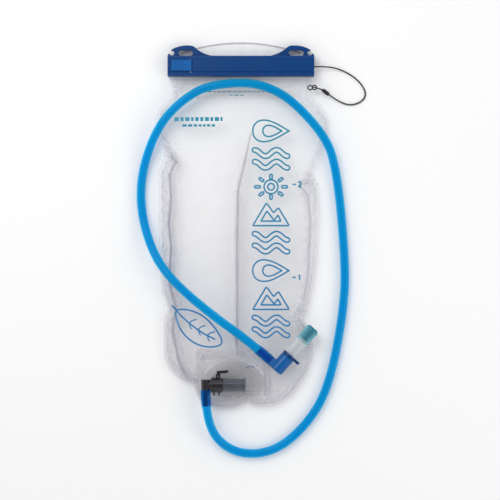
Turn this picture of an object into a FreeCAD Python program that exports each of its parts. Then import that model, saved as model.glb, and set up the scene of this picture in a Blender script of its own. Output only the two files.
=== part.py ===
import FreeCAD, Part
import math
import os

# A flat, lightly filled hydration bladder lying on its back: X across, Y from its base to its closure, Z up.
# All sizes are in millimetres. The origin is on the ground, under the middle of the bladder.

# --- bladder films ---
BAG_WIDTH = 192.4
PANEL_LENGTH = 340.0
NECK_LENGTH = 27.3
NECK_INSET = 2.0
NECK_PLAY = 1.0
FILM = 0.4
SEAM_Z = 6.5
BAG_TOP_Z = 18.5
FRONT_SLOPE = 22.0
BACK_SLOPE = 8.0
CHAMBER_CORNER = 30.0
TRAY_CORNER = 22.0

# --- slide closure ---
SLIDER_LENGTH = 161.0
SLIDER_HEIGHT = 22.2
SLIDER_THICKNESS = 13.4
SLIDER_CENTRE_X = -2.0
SLIDER_GROUND_GAP = 0.7
SLIDER_EDGE_WALL = 3.3
SLIDER_END_WALL = 2.5
SLIDER_EDGE_ROUND = 1.6
LIP_HEIGHT = 4.7
LIP_STEP = 0.8
EAR_THICKNESS = 6.0
EAR_ABOVE_BACK = 3.0
EYE_LENGTH = 16.5
EYE_HEIGHT = 6.4
EYE_FROM_END = 19.5
EYE_ABOVE_TOP = 3.4
HORN_NOTCH_R = 2.7
RAIL_HEIGHT = 13.0
RAIL_DEPTH = 3.5
RAIL_PLAY = 0.4
RAIL_END_GAP = 3.0
KNOT_ROOM = 5.0
FILM_SLOT = 2.4
ZIP_RIB_WIDTH = 1.4
ZIP_RIB_DEPTH = 1.6
ZIP_RIB_PLAY = 0.15
FLAP_RISE = 16.5
FLAP_LIFT = 0.1
FLAP_HALF_WIDTH = 66.0

# --- latch in the slider's face ---
LATCH_LENGTH = 22.6
LATCH_HEIGHT = 12.4
LATCH_PLATE = 1.5
LATCH_TRAVEL = 1.1
LATCH_PLAY = 0.5
LATCH_FROM_END = 3.6
LATCH_RIBS = 3
LATCH_KNUCKLE_R = 1.3
LATCH_PIN_R = 0.6
RUNNING_PLAY = 0.06

# --- lanyard on the slider ---
LANYARD_D = 1.6
LANYARD_HOLE_R = 1.0
LANYARD_KNOT_R = 1.9
CLIP_RING_R = 2.4
CLIP_WIRE_R = 0.7
BEAD_R = 2.2
BEAD_LENGTH = 9.0
LOOP_PLAY = 0.25
BEAD_PLAY = 0.1

# --- outlet port ---
PORT_X = -10.2
PORT_FROM_BASE = 28.2
PORT_AXIS_Z = 18.4
FLANGE_WIDTH = 65.0
FLANGE_THICKNESS = 1.4
FLANGE_BELOW = 12.0
FLANGE_ABOVE = 26.3
INLET_R = 3.2
SOCKET_R = 7.0
SOCKET_RIB_R = 7.7
SOCKET_LENGTH = 26.0
SOCKET_BORE_R = 4.6
SEAT_R = 3.0
CHAMBER_R = 5.0
SOCKET_RIBS = 4
COLLAR_R = 8.2
COLLAR_LENGTH = 13.1
COLLAR_LAP = 3.0
COLLAR_FIN_R = 9.6
LEVER_PIN_STANDOFF = 1.8
CAP_R = 8.0
CAP_PLATE = 2.0
CAP_PLUG = 2.0
CAP_EDGE = 0.6
FIT_PLAY = 0.05

# --- plug-in elbow and hose ---
NOSE_PLAY = 0.15
NOSE_END_GAP = 0.3
ELBOW_R = 4.75
ELBOW_X = -40.6
SHOULDER_R = 6.2
HOSE_OD = 9.5
HOSE_BORE = 6.4
HOSE_END_GAP = 0.3
BARB_PLAY = 0.25
BARB_LENGTH = 17.9
BARB_STEP = 0.3
WATERWAY_R = 2.2
O_RING_R = 0.44

# --- bite valve ---
VALVE_FROM_SIDE = 53.4
VALVE_FROM_BASE = 51.5
VALVE_REST_Z = 7.6
VALVE_ANGLE = 48.0
VALVE_TILT = 11.0
BARREL_R = 7.8
BARREL_HALF = 10.2
BARREL_WALL = 1.9
BARREL_FLOOR = 2.0
ROTOR_PLAY = 0.1
SPIGOT_R = 5.0
SPIGOT_REACH = 12.9
SPIGOT_DROP = 5.5
STEM_TAIL_R = 3.9
STEM_START = 13.7
STEM_TAIL = 3.2
STEM_END = 36.0
STEM_R = 4.7
STEM_END_R = 6.5
MOUTH_END = 52.5
MOUTH_R = 7.1
SLEEVE_WALL = 0.6
SLEEVE_PLAY = 0.15

# --- places that follow from the sizes ---
TOTAL_LENGTH = PANEL_LENGTH + NECK_LENGTH + SLIDER_HEIGHT + FLAP_RISE
BASE_Y = -TOTAL_LENGTH / 2
SHOULDER_Y = BASE_Y + PANEL_LENGTH
SLIDER_Y0 = SHOULDER_Y + NECK_LENGTH
SLIDER_Y1 = SLIDER_Y0 + SLIDER_HEIGHT
SLIDER_X0 = SLIDER_CENTRE_X - SLIDER_LENGTH / 2
SLIDER_X1 = SLIDER_CENTRE_X + SLIDER_LENGTH / 2
SLIDER_Z1 = SLIDER_GROUND_GAP + SLIDER_THICKNESS
RAIL_X0 = SLIDER_X0 + RAIL_END_GAP
RAIL_X1 = SLIDER_X1 - SLIDER_END_WALL - KNOT_ROOM
RAIL_Y0 = SLIDER_Y0 + SLIDER_EDGE_WALL + RAIL_PLAY
RAIL_Y1 = RAIL_Y0 + RAIL_HEIGHT
CHANNEL_HALF_Z = RAIL_DEPTH + RAIL_PLAY
NECK_X0 = RAIL_X0 + NECK_INSET
NECK_X1 = SLIDER_X1 - SLIDER_END_WALL - NECK_PLAY
PORT_Y = BASE_Y + PORT_FROM_BASE
FILM_FACE_Z = SEAM_Z + FILM
FLANGE_TOP_Z = FILM_FACE_Z + FLANGE_THICKNESS
SOCKET_X0 = PORT_X - 14.5
SOCKET_X1 = SOCKET_X0 + SOCKET_LENGTH
COLLAR_X0 = SOCKET_X0 + COLLAR_LAP - COLLAR_LENGTH
INLET_X = SOCKET_X1 - 5.2
SEAT_X = SOCKET_X0 + 12.1
SEAT_LENGTH = 1.4
NOSE_TIP_X = SEAT_X - NOSE_END_GAP
NOSE_R = SOCKET_BORE_R - NOSE_PLAY
BARB_R = HOSE_BORE / 2 - BARB_PLAY
ELBOW_FACE_Y = PORT_Y - 4.9
ELBOW_TOP_Y = PORT_Y + 6.0
LEVER_X = PORT_X - 16.8
LEVER_Y = PORT_Y + COLLAR_R + LEVER_PIN_STANDOFF

Z_UP = FreeCAD.Vector(0, 0, 1)
X_RIGHT = FreeCAD.Vector(1, 0, 0)
Y_AWAY = FreeCAD.Vector(0, 1, 0)

turn = math.radians(VALVE_ANGLE)
tilt = math.radians(VALVE_TILT)
VALVE_AXIS = FreeCAD.Vector(math.cos(turn), math.sin(turn), 0)
ACROSS = FreeCAD.Vector(math.sin(turn), -math.cos(turn), 0)
HOSE_INTO_VALVE = ACROSS * math.cos(tilt) - Z_UP * math.sin(tilt)
VALVE_CENTRE = FreeCAD.Vector(
    BAG_WIDTH / 2 - VALVE_FROM_SIDE,
    BASE_Y + VALVE_FROM_BASE,
    VALVE_REST_Z + BARREL_R,
)
SPIGOT_ROOT = VALVE_CENTRE - VALVE_AXIS * SPIGOT_DROP
SPIGOT_FACE = SPIGOT_ROOT - HOSE_INTO_VALVE * SPIGOT_REACH
BARREL_BORE_R = BARREL_R - BARREL_WALL
ROTOR_R = BARREL_BORE_R - ROTOR_PLAY

# The bladder's outline as shares of its half width and of its panel length, from the right shoulder round
# the base to the left shoulder. A single point ends a straight stretch, and a pair is a round lobe: a point
# on its crown and its end. The short straight stretches between lobes are the puckers of the seam.
OUTLINE = [
    [(0.894, 0.991)],
    [(1.000, 0.909), (0.894, 0.827)],
    [(0.801, 0.758)],
    [(0.866, 0.732)],
    [(0.886, 0.621), (0.832, 0.435)],
    [(0.759, 0.332)],
    [(0.680, 0.300)],
    [(0.728, 0.279)],
    [(0.805, 0.191), (0.645, 0.078)],
    [(0.416, 0.018), (0.098, 0.013)],
    [(0.049, 0.027)],
    [(0.000, 0.016)],
    [(-0.208, 0.000), (-0.416, 0.016)],
    [(-0.495, 0.033)],
    [(-0.540, 0.056)],
    [(-0.557, 0.087)],
    [(-0.800, 0.118), (-0.904, 0.203)],
    [(-0.910, 0.291)],
    [(-0.855, 0.331)],
    [(-0.936, 0.385)],
    [(-0.963, 0.568)],
    [(-0.963, 0.777)],
    [(-0.915, 0.803)],
    [(-0.893, 0.841)],
    [(-0.931, 0.867)],
    [(-1.000, 0.926), (-0.931, 0.985)],
]

# Corners of the raised chamber in the front film and of the tray in the back film, in the same shares.
FRONT_CHAMBER = [(0.748, 0.956), (0.624, 0.177), (-0.821, 0.177), (-0.821, 0.956)]
BACK_TRAY = [(0.748, 0.956), (0.541, 0.044), (-0.416, 0.044), (-0.821, 0.215), (-0.821, 0.956)]

# The hose's route between its two fittings: chosen corners that the tube's arcs round off.
HOSE_ROUTE = [
    (-40.6, -219.5, 18.4),
    (-11.8, -251.5, 4.9),
    (32.0, -251.5, 4.9),
    (68.8, -222.4, 4.9),
    (95.6, -178.4, 4.9),
    (112.6, -86.4, 4.9),
    (112.6, -30.0, 4.9),
    (104.0, 59.5, 5.2),
    (90.4, 100.5, 14.6),
    (34.1, 156.0, 14.6),
    (-34.5, 156.3, 14.6),
    (-70.6, 134.8, 14.6),
    (-95.7, 104.4, 14.0),
    (-112.4, 56.5, 4.9),
    (-112.4, 12.5, 4.9),
    (-97.2, -34.1, 15.5),
    (-72.0, -65.4, 26.0),
    (-31.0, -99.5, 26.5),
]
LAST_HOSE_RUN = 32.0

# The lanyard's route from the slider's end to the clip, lying on the ground and climbing to the bead. Its
# points and its clip move with the slider's end from the home place that they are chosen for.
LANYARD_HOME = FreeCAD.Vector(78.5, 164.3, 0)
LANYARD_ROUTE = [
    (93.0, 176.0, 5.6),
    (112.5, 171.5, 0.9),
    (130.5, 159.0, 0.9),
    (138.0, 143.0, 0.9),
    (125.0, 133.0, 0.9),
    (108.0, 135.0, 1.2),
]
BEAD_PLACE = (95.0, 144.5, 5.2)
BEAD_TOWARDS = FreeCAD.Vector(-13.0, 9.5, 4.0)
CLIP_RINGS = [(74.2, 151.9), (78.9, 152.1)]


def with_slider(x, y, z):
    """A point chosen at the slider's home place, moved to where the slider's end is."""
    return FreeCAD.Vector(x, y, z) + FreeCAD.Vector(SLIDER_X1, SLIDER_Y0, 0) - LANYARD_HOME


def box(x0, x1, y0, y1, z0, z1):
    return Part.makeBox(x1 - x0, y1 - y0, z1 - z0, FreeCAD.Vector(x0, y0, z0))


def rod(base, axis, radius, length):
    return Part.makeCylinder(radius, length, base, axis)


def turned(profile, base, axis):
    """A solid of revolution: profile is (radius, distance along the axis) from base."""
    points = [FreeCAD.Vector(r, 0, s) for r, s in profile]
    face = Part.Face(Part.makePolygon(points + points[:1]))
    solid = face.revolve(FreeCAD.Vector(), Z_UP, 360)
    solid.Placement = FreeCAD.Placement(base, FreeCAD.Rotation(Z_UP, axis))
    return solid


def ring(centre, axis, major, minor):
    return Part.makeTorus(major, minor, centre, axis)


def slab(wire, thickness):
    return Part.Face(wire).extrude(FreeCAD.Vector(0, 0, thickness))


def on_bag(share, z):
    """A place on the bladder from its shares of half width and panel length."""
    return FreeCAD.Vector(share[0] * BAG_WIDTH / 2, BASE_Y + share[1] * PANEL_LENGTH, z)


def bag_wire(z):
    """The closed outline of both films: neck, shoulders, lobed sides and base."""
    neck_foot = SHOULDER_Y + 5.0
    here = FreeCAD.Vector(NECK_X1, neck_foot, z)
    edges = [Part.LineSegment(FreeCAD.Vector(NECK_X1, RAIL_Y0, z), here).toShape()]
    for stretch in OUTLINE:
        points = [on_bag(share, z) for share in stretch]
        if len(points) == 1:
            edges.append(Part.LineSegment(here, points[0]).toShape())
        else:
            edges.append(Part.Arc(here, points[0], points[1]).toShape())
        here = points[-1]
    for x, y in [(NECK_X0, neck_foot), (NECK_X0, RAIL_Y0), (NECK_X1, RAIL_Y0)]:
        there = FreeCAD.Vector(x, y, z)
        edges.append(Part.LineSegment(here, there).toShape())
        here = there
    return Part.Wire(edges)


def inset_corners(corners, inset):
    """Corners of a clockwise polygon after each side moves inwards by inset."""
    count = len(corners)
    sides = []
    for i in range(count):
        along = corners[(i + 1) % count].sub(corners[i])
        along.normalize()
        inwards = FreeCAD.Vector(along.y, -along.x, 0)
        sides.append((corners[i] + inwards * inset, along))
    moved = []
    for i in range(count):
        p, a = sides[i - 1]
        q, b = sides[i]
        step = ((q - p).x * b.y - (q - p).y * b.x) / (a.x * b.y - a.y * b.x)
        moved.append(p + a * step)
    return moved


def rounded_wire(shares, inset, radius, z):
    """A polygon given in bag shares, moved inwards by inset, with its corners rounded."""
    corners = inset_corners([on_bag(share, z) for share in shares], inset)
    count = len(corners)
    edges = []
    first = None
    last = None
    for i in range(count):
        before = corners[i - 1].sub(corners[i])
        after = corners[(i + 1) % count].sub(corners[i])
        before.normalize()
        after.normalize()
        half = before.getAngle(after) / 2
        start = corners[i] + before * (radius / math.tan(half))
        end = corners[i] + after * (radius / math.tan(half))
        middle = before + after
        middle.normalize()
        crown = corners[i] + middle * (radius / math.sin(half) - radius)
        if last is not None:
            edges.append(Part.LineSegment(last, start).toShape())
        edges.append(Part.Arc(start, crown, end).toShape())
        first = first or start
        last = end
    edges.append(Part.LineSegment(last, first).toShape())
    return Part.Wire(edges)


def chamber(shares, slope, corner, z_foot, z_crown):
    foot = rounded_wire(shares, 0.0, corner + slope, z_foot)
    crown = rounded_wire(shares, slope, corner, z_crown)
    return Part.makeLoft([foot, crown], True, True)


def film_front():
    raised = chamber(FRONT_CHAMBER, FRONT_SLOPE, CHAMBER_CORNER - FRONT_SLOPE, FILM_FACE_Z, BAG_TOP_Z)
    film = slab(bag_wire(SEAM_Z), FILM).fuse(raised)
    hollow = raised.copy()
    hollow.translate(FreeCAD.Vector(0, 0, -FILM))
    inlet = rod(FreeCAD.Vector(INLET_X, PORT_Y, SEAM_Z - 1), Z_UP, INLET_R, FILM + 2)
    return film.cut(hollow).cut(inlet)


def film_back():
    tray = chamber(BACK_TRAY, BACK_SLOPE, TRAY_CORNER - BACK_SLOPE, SEAM_Z - FILM, 0.0)
    film = slab(bag_wire(SEAM_Z - FILM), FILM).fuse(tray)
    hollow = tray.copy()
    hollow.translate(FreeCAD.Vector(0, 0, FILM))
    return film.cut(hollow)


def hang_flap():
    """A film tongue welded behind the neck, running under the slider to an arched free edge."""
    weld = SHOULDER_Y + 3.0
    bend = SHOULDER_Y + 23.0
    top = SEAM_Z - FILM
    side = [
        (weld, top),
        (weld + 6.0, top),
        (bend, FLAP_LIFT + FILM),
        (-BASE_Y, FLAP_LIFT + FILM),
        (-BASE_Y, FLAP_LIFT),
        (bend - 0.2, FLAP_LIFT),
        (weld + 5.8, top - FILM),
        (weld, top - FILM),
    ]
    left = SLIDER_CENTRE_X - FLAP_HALF_WIDTH
    right = SLIDER_CENTRE_X + FLAP_HALF_WIDTH
    points = [FreeCAD.Vector(left, y, z) for y, z in side]
    strip = Part.Face(Part.makePolygon(points + points[:1])).extrude(FreeCAD.Vector(right - left, 0, 0))
    shoulder = -BASE_Y - 11.0
    low = [
        FreeCAD.Vector(left, shoulder, -1),
        FreeCAD.Vector(left, weld - 1, -1),
        FreeCAD.Vector(right, weld - 1, -1),
        FreeCAD.Vector(right, shoulder, -1),
    ]
    edges = [Part.LineSegment(a, b).toShape() for a, b in zip(low, low[1:])]
    apex = FreeCAD.Vector(SLIDER_CENTRE_X, -BASE_Y, -1)
    edges.append(Part.Arc(low[-1], apex, low[0]).toShape())
    return strip.common(slab(Part.Wire(edges), SEAM_Z + 2))


def zip_ribs(play):
    ribs = []
    for share in (0.35, 0.65):
        y = RAIL_Y0 + RAIL_HEIGHT * share
        half = ZIP_RIB_WIDTH / 2 + play
        ribs.append(box(RAIL_X0, RAIL_X1, y - half, y + half, SEAM_Z - ZIP_RIB_DEPTH - play, SEAM_Z + 0.2))
    return ribs


def zip_rail_front():
    rail = box(RAIL_X0, RAIL_X1, RAIL_Y0, RAIL_Y1, SEAM_Z, SEAM_Z + RAIL_DEPTH)
    return rail.fuse(zip_ribs(0.0)).removeSplitter()


def zip_rail_back():
    rail = box(RAIL_X0, RAIL_X1, RAIL_Y0, RAIL_Y1, SEAM_Z - RAIL_DEPTH, SEAM_Z)
    return rail.cut(zip_ribs(ZIP_RIB_PLAY))


def latch_window():
    """The pocket for the latch in the slider's face: x0, x1, y0, y1."""
    x0 = SLIDER_X0 + LATCH_FROM_END
    y0 = SLIDER_Y0 + LIP_HEIGHT + 0.3
    return x0, x0 + LATCH_LENGTH + 2 * LATCH_PLAY, y0, y0 + LATCH_HEIGHT + 2 * LATCH_PLAY


def latch_axis():
    x1 = latch_window()[1]
    return FreeCAD.Vector(x1 - LATCH_PLAY - LATCH_KNUCKLE_R, 0, SLIDER_Z1 - LATCH_KNUCKLE_R)


def ear():
    """The left hanging ear with its eye and the hooked notch on its outer side."""
    x = SLIDER_X0
    y = SLIDER_Y1
    z = SLIDER_GROUND_GAP + EAR_ABOVE_BACK

    def at(dx, dy):
        return FreeCAD.Vector(x + dx, y + dy, z)

    edges = [
        Part.LineSegment(at(0, -3), at(0, 1.4)).toShape(),
        Part.LineSegment(at(0, 1.4), at(4.7, 7.4)).toShape(),
        Part.Arc(at(4.7, 7.4), at(14.5, 11.0), at(24.0, 11.6)).toShape(),
        Part.Arc(at(24.0, 11.6), at(28.2, 10.6), at(31.4, 8.1)).toShape(),
        Part.Arc(at(31.4, 8.1), at(42.3, 2.0), at(55.5, 0)).toShape(),
        Part.LineSegment(at(55.5, 0), at(55.5, -3)).toShape(),
        Part.LineSegment(at(55.5, -3), at(0, -3)).toShape(),
    ]
    shape = slab(Part.Wire(edges), EAR_THICKNESS)
    below = FreeCAD.Vector(0, 0, -1)
    through = EAR_THICKNESS + 2
    half = EYE_LENGTH / 2 - EYE_HEIGHT / 2
    r = EYE_HEIGHT / 2
    eye = rod(at(EYE_FROM_END - half, EYE_ABOVE_TOP) + below, Z_UP, r, through)
    eye = eye.fuse(rod(at(EYE_FROM_END + half, EYE_ABOVE_TOP) + below, Z_UP, r, through))
    corner = at(EYE_FROM_END - half, EYE_ABOVE_TOP - r) + below
    eye = eye.fuse(Part.makeBox(2 * half, EYE_HEIGHT, through, corner))
    notch = rod(at(4.6, 3.4) + below, Z_UP, HORN_NOTCH_R, through)
    mouth = Part.makeBox(6, 2.2, through, at(-2, 2.6) + below)
    return shape.cut(eye).cut(notch.fuse(mouth))


def slider_body():
    shell = box(SLIDER_X0, SLIDER_X1, SLIDER_Y0, SLIDER_Y1, SLIDER_GROUND_GAP, SLIDER_Z1)
    long_edges = [e for e in shell.Edges if abs(e.tangentAt(e.FirstParameter).x) > 0.9]
    shell = shell.makeFillet(SLIDER_EDGE_ROUND, long_edges)
    lip = box(
        SLIDER_X0 - 1,
        SLIDER_X1 + 1,
        SLIDER_Y0 - 1,
        SLIDER_Y0 + LIP_HEIGHT,
        SLIDER_Z1 - LIP_STEP,
        SLIDER_Z1 + 1,
    )
    shell = shell.cut(lip)
    left_ear = ear()
    right_ear = left_ear.mirror(FreeCAD.Vector(SLIDER_CENTRE_X, 0, 0), X_RIGHT)
    shell = shell.fuse([left_ear, right_ear])
    inner_end = SLIDER_X1 - SLIDER_END_WALL
    channel = box(
        SLIDER_X0 - 1,
        inner_end,
        SLIDER_Y0 + SLIDER_EDGE_WALL,
        RAIL_Y1 + RAIL_PLAY,
        SEAM_Z - CHANNEL_HALF_Z,
        SEAM_Z + CHANNEL_HALF_Z,
    )
    slot = box(
        SLIDER_X0 - 1,
        inner_end,
        SLIDER_Y0 - 1,
        SLIDER_Y0 + SLIDER_EDGE_WALL + 1,
        SEAM_Z - FILM_SLOT / 2,
        SEAM_Z + FILM_SLOT / 2,
    )
    x0, x1, y0, y1 = latch_window()
    knuckle = 2 * LATCH_KNUCKLE_R + 0.2
    pocket = box(x0, x1, y0, y1, SLIDER_Z1 - max(LATCH_PLATE + LATCH_TRAVEL, knuckle), SLIDER_Z1 + 1)
    axis = latch_axis()
    pin_hole = rod(FreeCAD.Vector(axis.x, y0 - 1.5, axis.z), Y_AWAY, LATCH_PIN_R, y1 - y0 + 3)
    cord_hole = rod(FreeCAD.Vector(inner_end - 1, cord_hole_y(), SEAM_Z), X_RIGHT, LANYARD_HOLE_R, 5)
    return shell.cut([channel, slot, pocket, pin_hole, cord_hole]).removeSplitter()


def slider_latch():
    x0, x1, y0, y1 = latch_window()
    axis = latch_axis()
    bottom = SLIDER_Z1 - LATCH_PLATE
    plate = box(x0 + LATCH_PLAY, axis.x, y0 + LATCH_PLAY, y1 - LATCH_PLAY, bottom, SLIDER_Z1)
    knuckle_base = FreeCAD.Vector(axis.x, y0 + LATCH_PLAY, axis.z)
    length = y1 - y0 - 2 * LATCH_PLAY
    shape = plate.fuse(rod(knuckle_base, Y_AWAY, LATCH_KNUCKLE_R, length))
    for i in range(LATCH_RIBS):
        x = x0 + LATCH_PLAY + 2.2 + i * 4.4
        shape = shape.fuse(box(x, x + 1.8, y0 + 1.6, y1 - 1.6, bottom, SLIDER_Z1 + 0.7))
    bore = rod(knuckle_base - Y_AWAY, Y_AWAY, LATCH_PIN_R + RUNNING_PLAY, length + 2)
    return shape.cut(bore).removeSplitter()


def latch_pin():
    x0, x1, y0, y1 = latch_window()
    axis = latch_axis()
    return rod(FreeCAD.Vector(axis.x, y0 - 1.4, axis.z), Y_AWAY, LATCH_PIN_R, y1 - y0 + 2.8)


def cord_hole_y():
    return SLIDER_Y0 + SLIDER_HEIGHT * 0.48


def rounded_path(points):
    """Straight runs joined by tangent arcs: each radius is 0.45 of the shorter run over tan(half the turn)."""
    edges = []
    radii = []
    here = points[0]
    for before, corner, after in zip(points, points[1:], points[2:]):
        back = before.sub(corner)
        ahead = after.sub(corner)
        setback = 0.45 * min(back.Length, ahead.Length)
        back.normalize()
        ahead.normalize()
        half_turn = (math.pi - back.getAngle(ahead)) / 2
        radius = setback / math.tan(half_turn)
        start = corner + back * setback
        end = corner + ahead * setback
        middle = back + ahead
        middle.normalize()
        crown = corner + middle * (radius / math.cos(half_turn) - radius)
        edges.append(Part.LineSegment(here, start).toShape())
        edges.append(Part.Arc(start, crown, end).toShape())
        radii.append(radius)
        here = end
    edges.append(Part.LineSegment(here, points[-1]).toShape())
    return Part.Wire(edges), radii


def swept(path, radius):
    first = path.Edges[0]
    start = first.valueAt(first.FirstParameter)
    circle = Part.Wire(Part.makeCircle(radius, start, first.tangentAt(first.FirstParameter)))
    return path.makePipeShell([circle], True, False)


def report_cord(name, path, radii, solid, section):
    print(name, "length", round(path.Length, 1), "least radius", round(min(radii), 1))
    print(name, "radii", [round(r, 1) for r in radii])
    print(name, "volume over section x length", round(solid.Volume / (section * path.Length), 4))


def hose():
    start = FreeCAD.Vector(ELBOW_X, ELBOW_FACE_Y, PORT_AXIS_Z)
    before_valve = SPIGOT_FACE - HOSE_INTO_VALVE * LAST_HOSE_RUN
    points = [start] + [FreeCAD.Vector(*p) for p in HOSE_ROUTE] + [before_valve, SPIGOT_FACE]
    path, radii = rounded_path(points)
    solid = swept(path, HOSE_OD / 2).cut(swept(path, HOSE_BORE / 2))
    report_cord("hose", path, radii, solid, math.pi * (HOSE_OD ** 2 - HOSE_BORE ** 2) / 4)
    return solid


def bead_axis():
    axis = FreeCAD.Vector(BEAD_TOWARDS)
    axis.normalize()
    return axis


def bead_start():
    return with_slider(*BEAD_PLACE)


def lanyard_cord():
    start = FreeCAD.Vector(SLIDER_X1 - SLIDER_END_WALL, cord_hole_y(), SEAM_Z)
    inside_bead = bead_start() + bead_axis() * (BEAD_LENGTH * 0.45)
    points = [start] + [with_slider(*p) for p in LANYARD_ROUTE] + [inside_bead]
    path, radii = rounded_path(points)
    solid = swept(path, LANYARD_D / 2)
    report_cord("lanyard", path, radii, solid, math.pi * LANYARD_D ** 2 / 4)
    return solid


def lanyard_knot():
    x = SLIDER_X1 - SLIDER_END_WALL - LANYARD_KNOT_R - FIT_PLAY
    return Part.makeSphere(LANYARD_KNOT_R, FreeCAD.Vector(x, cord_hole_y(), SEAM_Z))


def lanyard_bead():
    barrel = [
        (LANYARD_D / 2 + BEAD_PLAY, 0.0),
        (BEAD_R * 0.75, 0.0),
        (BEAD_R, BEAD_LENGTH * 0.2),
        (BEAD_R, BEAD_LENGTH * 0.8),
        (BEAD_R * 0.75, BEAD_LENGTH),
        (LANYARD_D / 2 + BEAD_PLAY, BEAD_LENGTH),
    ]
    return turned(barrel, bead_start(), bead_axis())


def lanyard_loop():
    """The cord's closed end: it leaves the bead, passes round the clip's nearer ring and returns."""
    axis = bead_axis()
    start = bead_start() + axis * (BEAD_LENGTH * 0.55)
    ring_centre = with_slider(*CLIP_RINGS[1], clip_z())
    sideways = Z_UP * (LANYARD_D / 2 + CLIP_WIRE_R + LOOP_PLAY)
    neck = bead_start() + axis * (BEAD_LENGTH + 1.5)
    towards = FreeCAD.Vector(axis.x, axis.y, 0)
    towards.normalize()
    bight = ring_centre + towards * (CLIP_RING_R - CLIP_WIRE_R - LANYARD_D / 2 - LOOP_PLAY)
    points = [start, neck, ring_centre - towards * 3.2 + sideways, ring_centre + sideways]
    upper = [Part.LineSegment(a, b).toShape() for a, b in zip(points[:-1], points[1:])]
    turn_back = Part.Arc(points[-1], bight, ring_centre - sideways).toShape()
    lower_end = ring_centre - towards * 4.6 - sideways * 0.92
    lower = Part.LineSegment(ring_centre - sideways, lower_end).toShape()
    solids = []
    for edge in upper + [turn_back, lower]:
        solids.append(swept(Part.Wire([edge]), LANYARD_D / 2))
    joints = points[1:-1]
    balls = [Part.makeSphere(LANYARD_D / 2, p) for p in joints + [lower_end]]
    return solids[0].fuse(solids[1:] + balls)


def clip_z():
    return FILM_FACE_Z + 0.5 + CLIP_WIRE_R


def lanyard_clip():
    rings = [ring(with_slider(x, y, clip_z()), Z_UP, CLIP_RING_R, CLIP_WIRE_R) for x, y in CLIP_RINGS]
    return rings[0].fuse(rings[1])


def port_flange():
    """A stiff arched plate welded to the front film, with a cradle beside the socket."""
    half = FLANGE_WIDTH / 2
    low = PORT_Y - FLANGE_BELOW
    spring = PORT_Y + 8.0
    z = FILM_FACE_Z
    cut = 6.0

    def at(x, y):
        return FreeCAD.Vector(PORT_X + x, y, z)

    edges = [
        Part.Arc(at(-half, spring), at(0, PORT_Y + FLANGE_ABOVE), at(half, spring)).toShape(),
        Part.LineSegment(at(half, spring), at(half, low + cut)).toShape(),
        Part.LineSegment(at(half, low + cut), at(half - cut, low)).toShape(),
        Part.LineSegment(at(half - cut, low), at(cut - half, low)).toShape(),
        Part.LineSegment(at(cut - half, low), at(-half, low + cut)).toShape(),
        Part.LineSegment(at(-half, low + cut), at(-half, spring)).toShape(),
    ]
    plate = slab(Part.Wire(edges), FLANGE_THICKNESS)
    cradle = box(SOCKET_X1 + 2.4, SOCKET_X1 + 10.6, PORT_Y - 7.5, PORT_Y + 7.5, z, FLANGE_TOP_Z + 5.2)
    inlet = rod(FreeCAD.Vector(INLET_X, PORT_Y, z - 1), Z_UP, INLET_R, FLANGE_THICKNESS + 2)
    return plate.fuse(cradle).cut(inlet).removeSplitter()


def on_port_axis(x):
    return FreeCAD.Vector(x, PORT_Y, PORT_AXIS_Z)


def port_socket():
    """The ribbed socket tube on its hollow foot: plug bore, valve seat, spring chamber."""
    body = rod(on_port_axis(SOCKET_X0), X_RIGHT, SOCKET_R, SOCKET_LENGTH)
    pitch = 3.6
    first = SOCKET_X0 + COLLAR_LAP + 2.0
    for i in range(SOCKET_RIBS):
        body = body.fuse(rod(on_port_axis(first + i * pitch), X_RIGHT, SOCKET_RIB_R, 1.3))
    foot = box(INLET_X - 4.6, INLET_X + 4.6, PORT_Y - 4.6, PORT_Y + 4.6, FLANGE_TOP_Z, PORT_AXIS_Z)
    body = body.fuse(foot)
    plug_bore = rod(on_port_axis(SOCKET_X0 - 1), X_RIGHT, SOCKET_BORE_R, SEAT_X - SOCKET_X0 + 1)
    seat = rod(on_port_axis(SEAT_X - 1), X_RIGHT, SEAT_R, SEAT_LENGTH + 2)
    spring_room = rod(on_port_axis(SEAT_X + SEAT_LENGTH), X_RIGHT, CHAMBER_R, SOCKET_LENGTH)
    inlet = rod(FreeCAD.Vector(INLET_X, PORT_Y, FLANGE_TOP_Z - 1), Z_UP, INLET_R, PORT_AXIS_Z - FLANGE_TOP_Z)
    return body.cut([plug_bore, seat, spring_room, inlet]).removeSplitter()


def port_end_cap():
    spigot = CHAMBER_R - FIT_PLAY
    profile = [
        (0, -CAP_PLUG),
        (spigot, -CAP_PLUG),
        (spigot, 0.0),
        (CAP_R, 0.0),
        (CAP_R, CAP_PLATE - CAP_EDGE),
        (CAP_R - CAP_EDGE, CAP_PLATE),
        (0, CAP_PLATE),
    ]
    return turned(profile, on_port_axis(SOCKET_X1), X_RIGHT)


def poppet_back_x():
    return SEAT_X + SEAT_LENGTH + 3.8


def port_poppet():
    """The check valve's disc and stem, held off its seat by the plug's nose."""
    face = poppet_back_x() - 1.6
    stem = NOSE_TIP_X + 0.6
    profile = [(0, stem), (1.1, stem), (1.1, face), (4.2, face), (4.2, face + 1.6), (0, face + 1.6)]
    return turned([(r, x - SOCKET_X0) for r, x in profile], on_port_axis(SOCKET_X0), X_RIGHT)


def coil(start, axis, radius, wire, length, turns):
    """A spring: a wire swept along a helix that starts at start and climbs along axis."""
    helix = Part.makeLongHelix(length / turns, length, radius)
    first = helix.Edges[0]
    begin = first.valueAt(first.FirstParameter)
    section = Part.Wire(Part.makeCircle(wire, begin, first.tangentAt(first.FirstParameter)))
    spring = Part.Wire(helix).makePipeShell([section], True, True)
    spring.Placement = FreeCAD.Placement(start, FreeCAD.Rotation(Z_UP, axis))
    return spring


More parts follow.
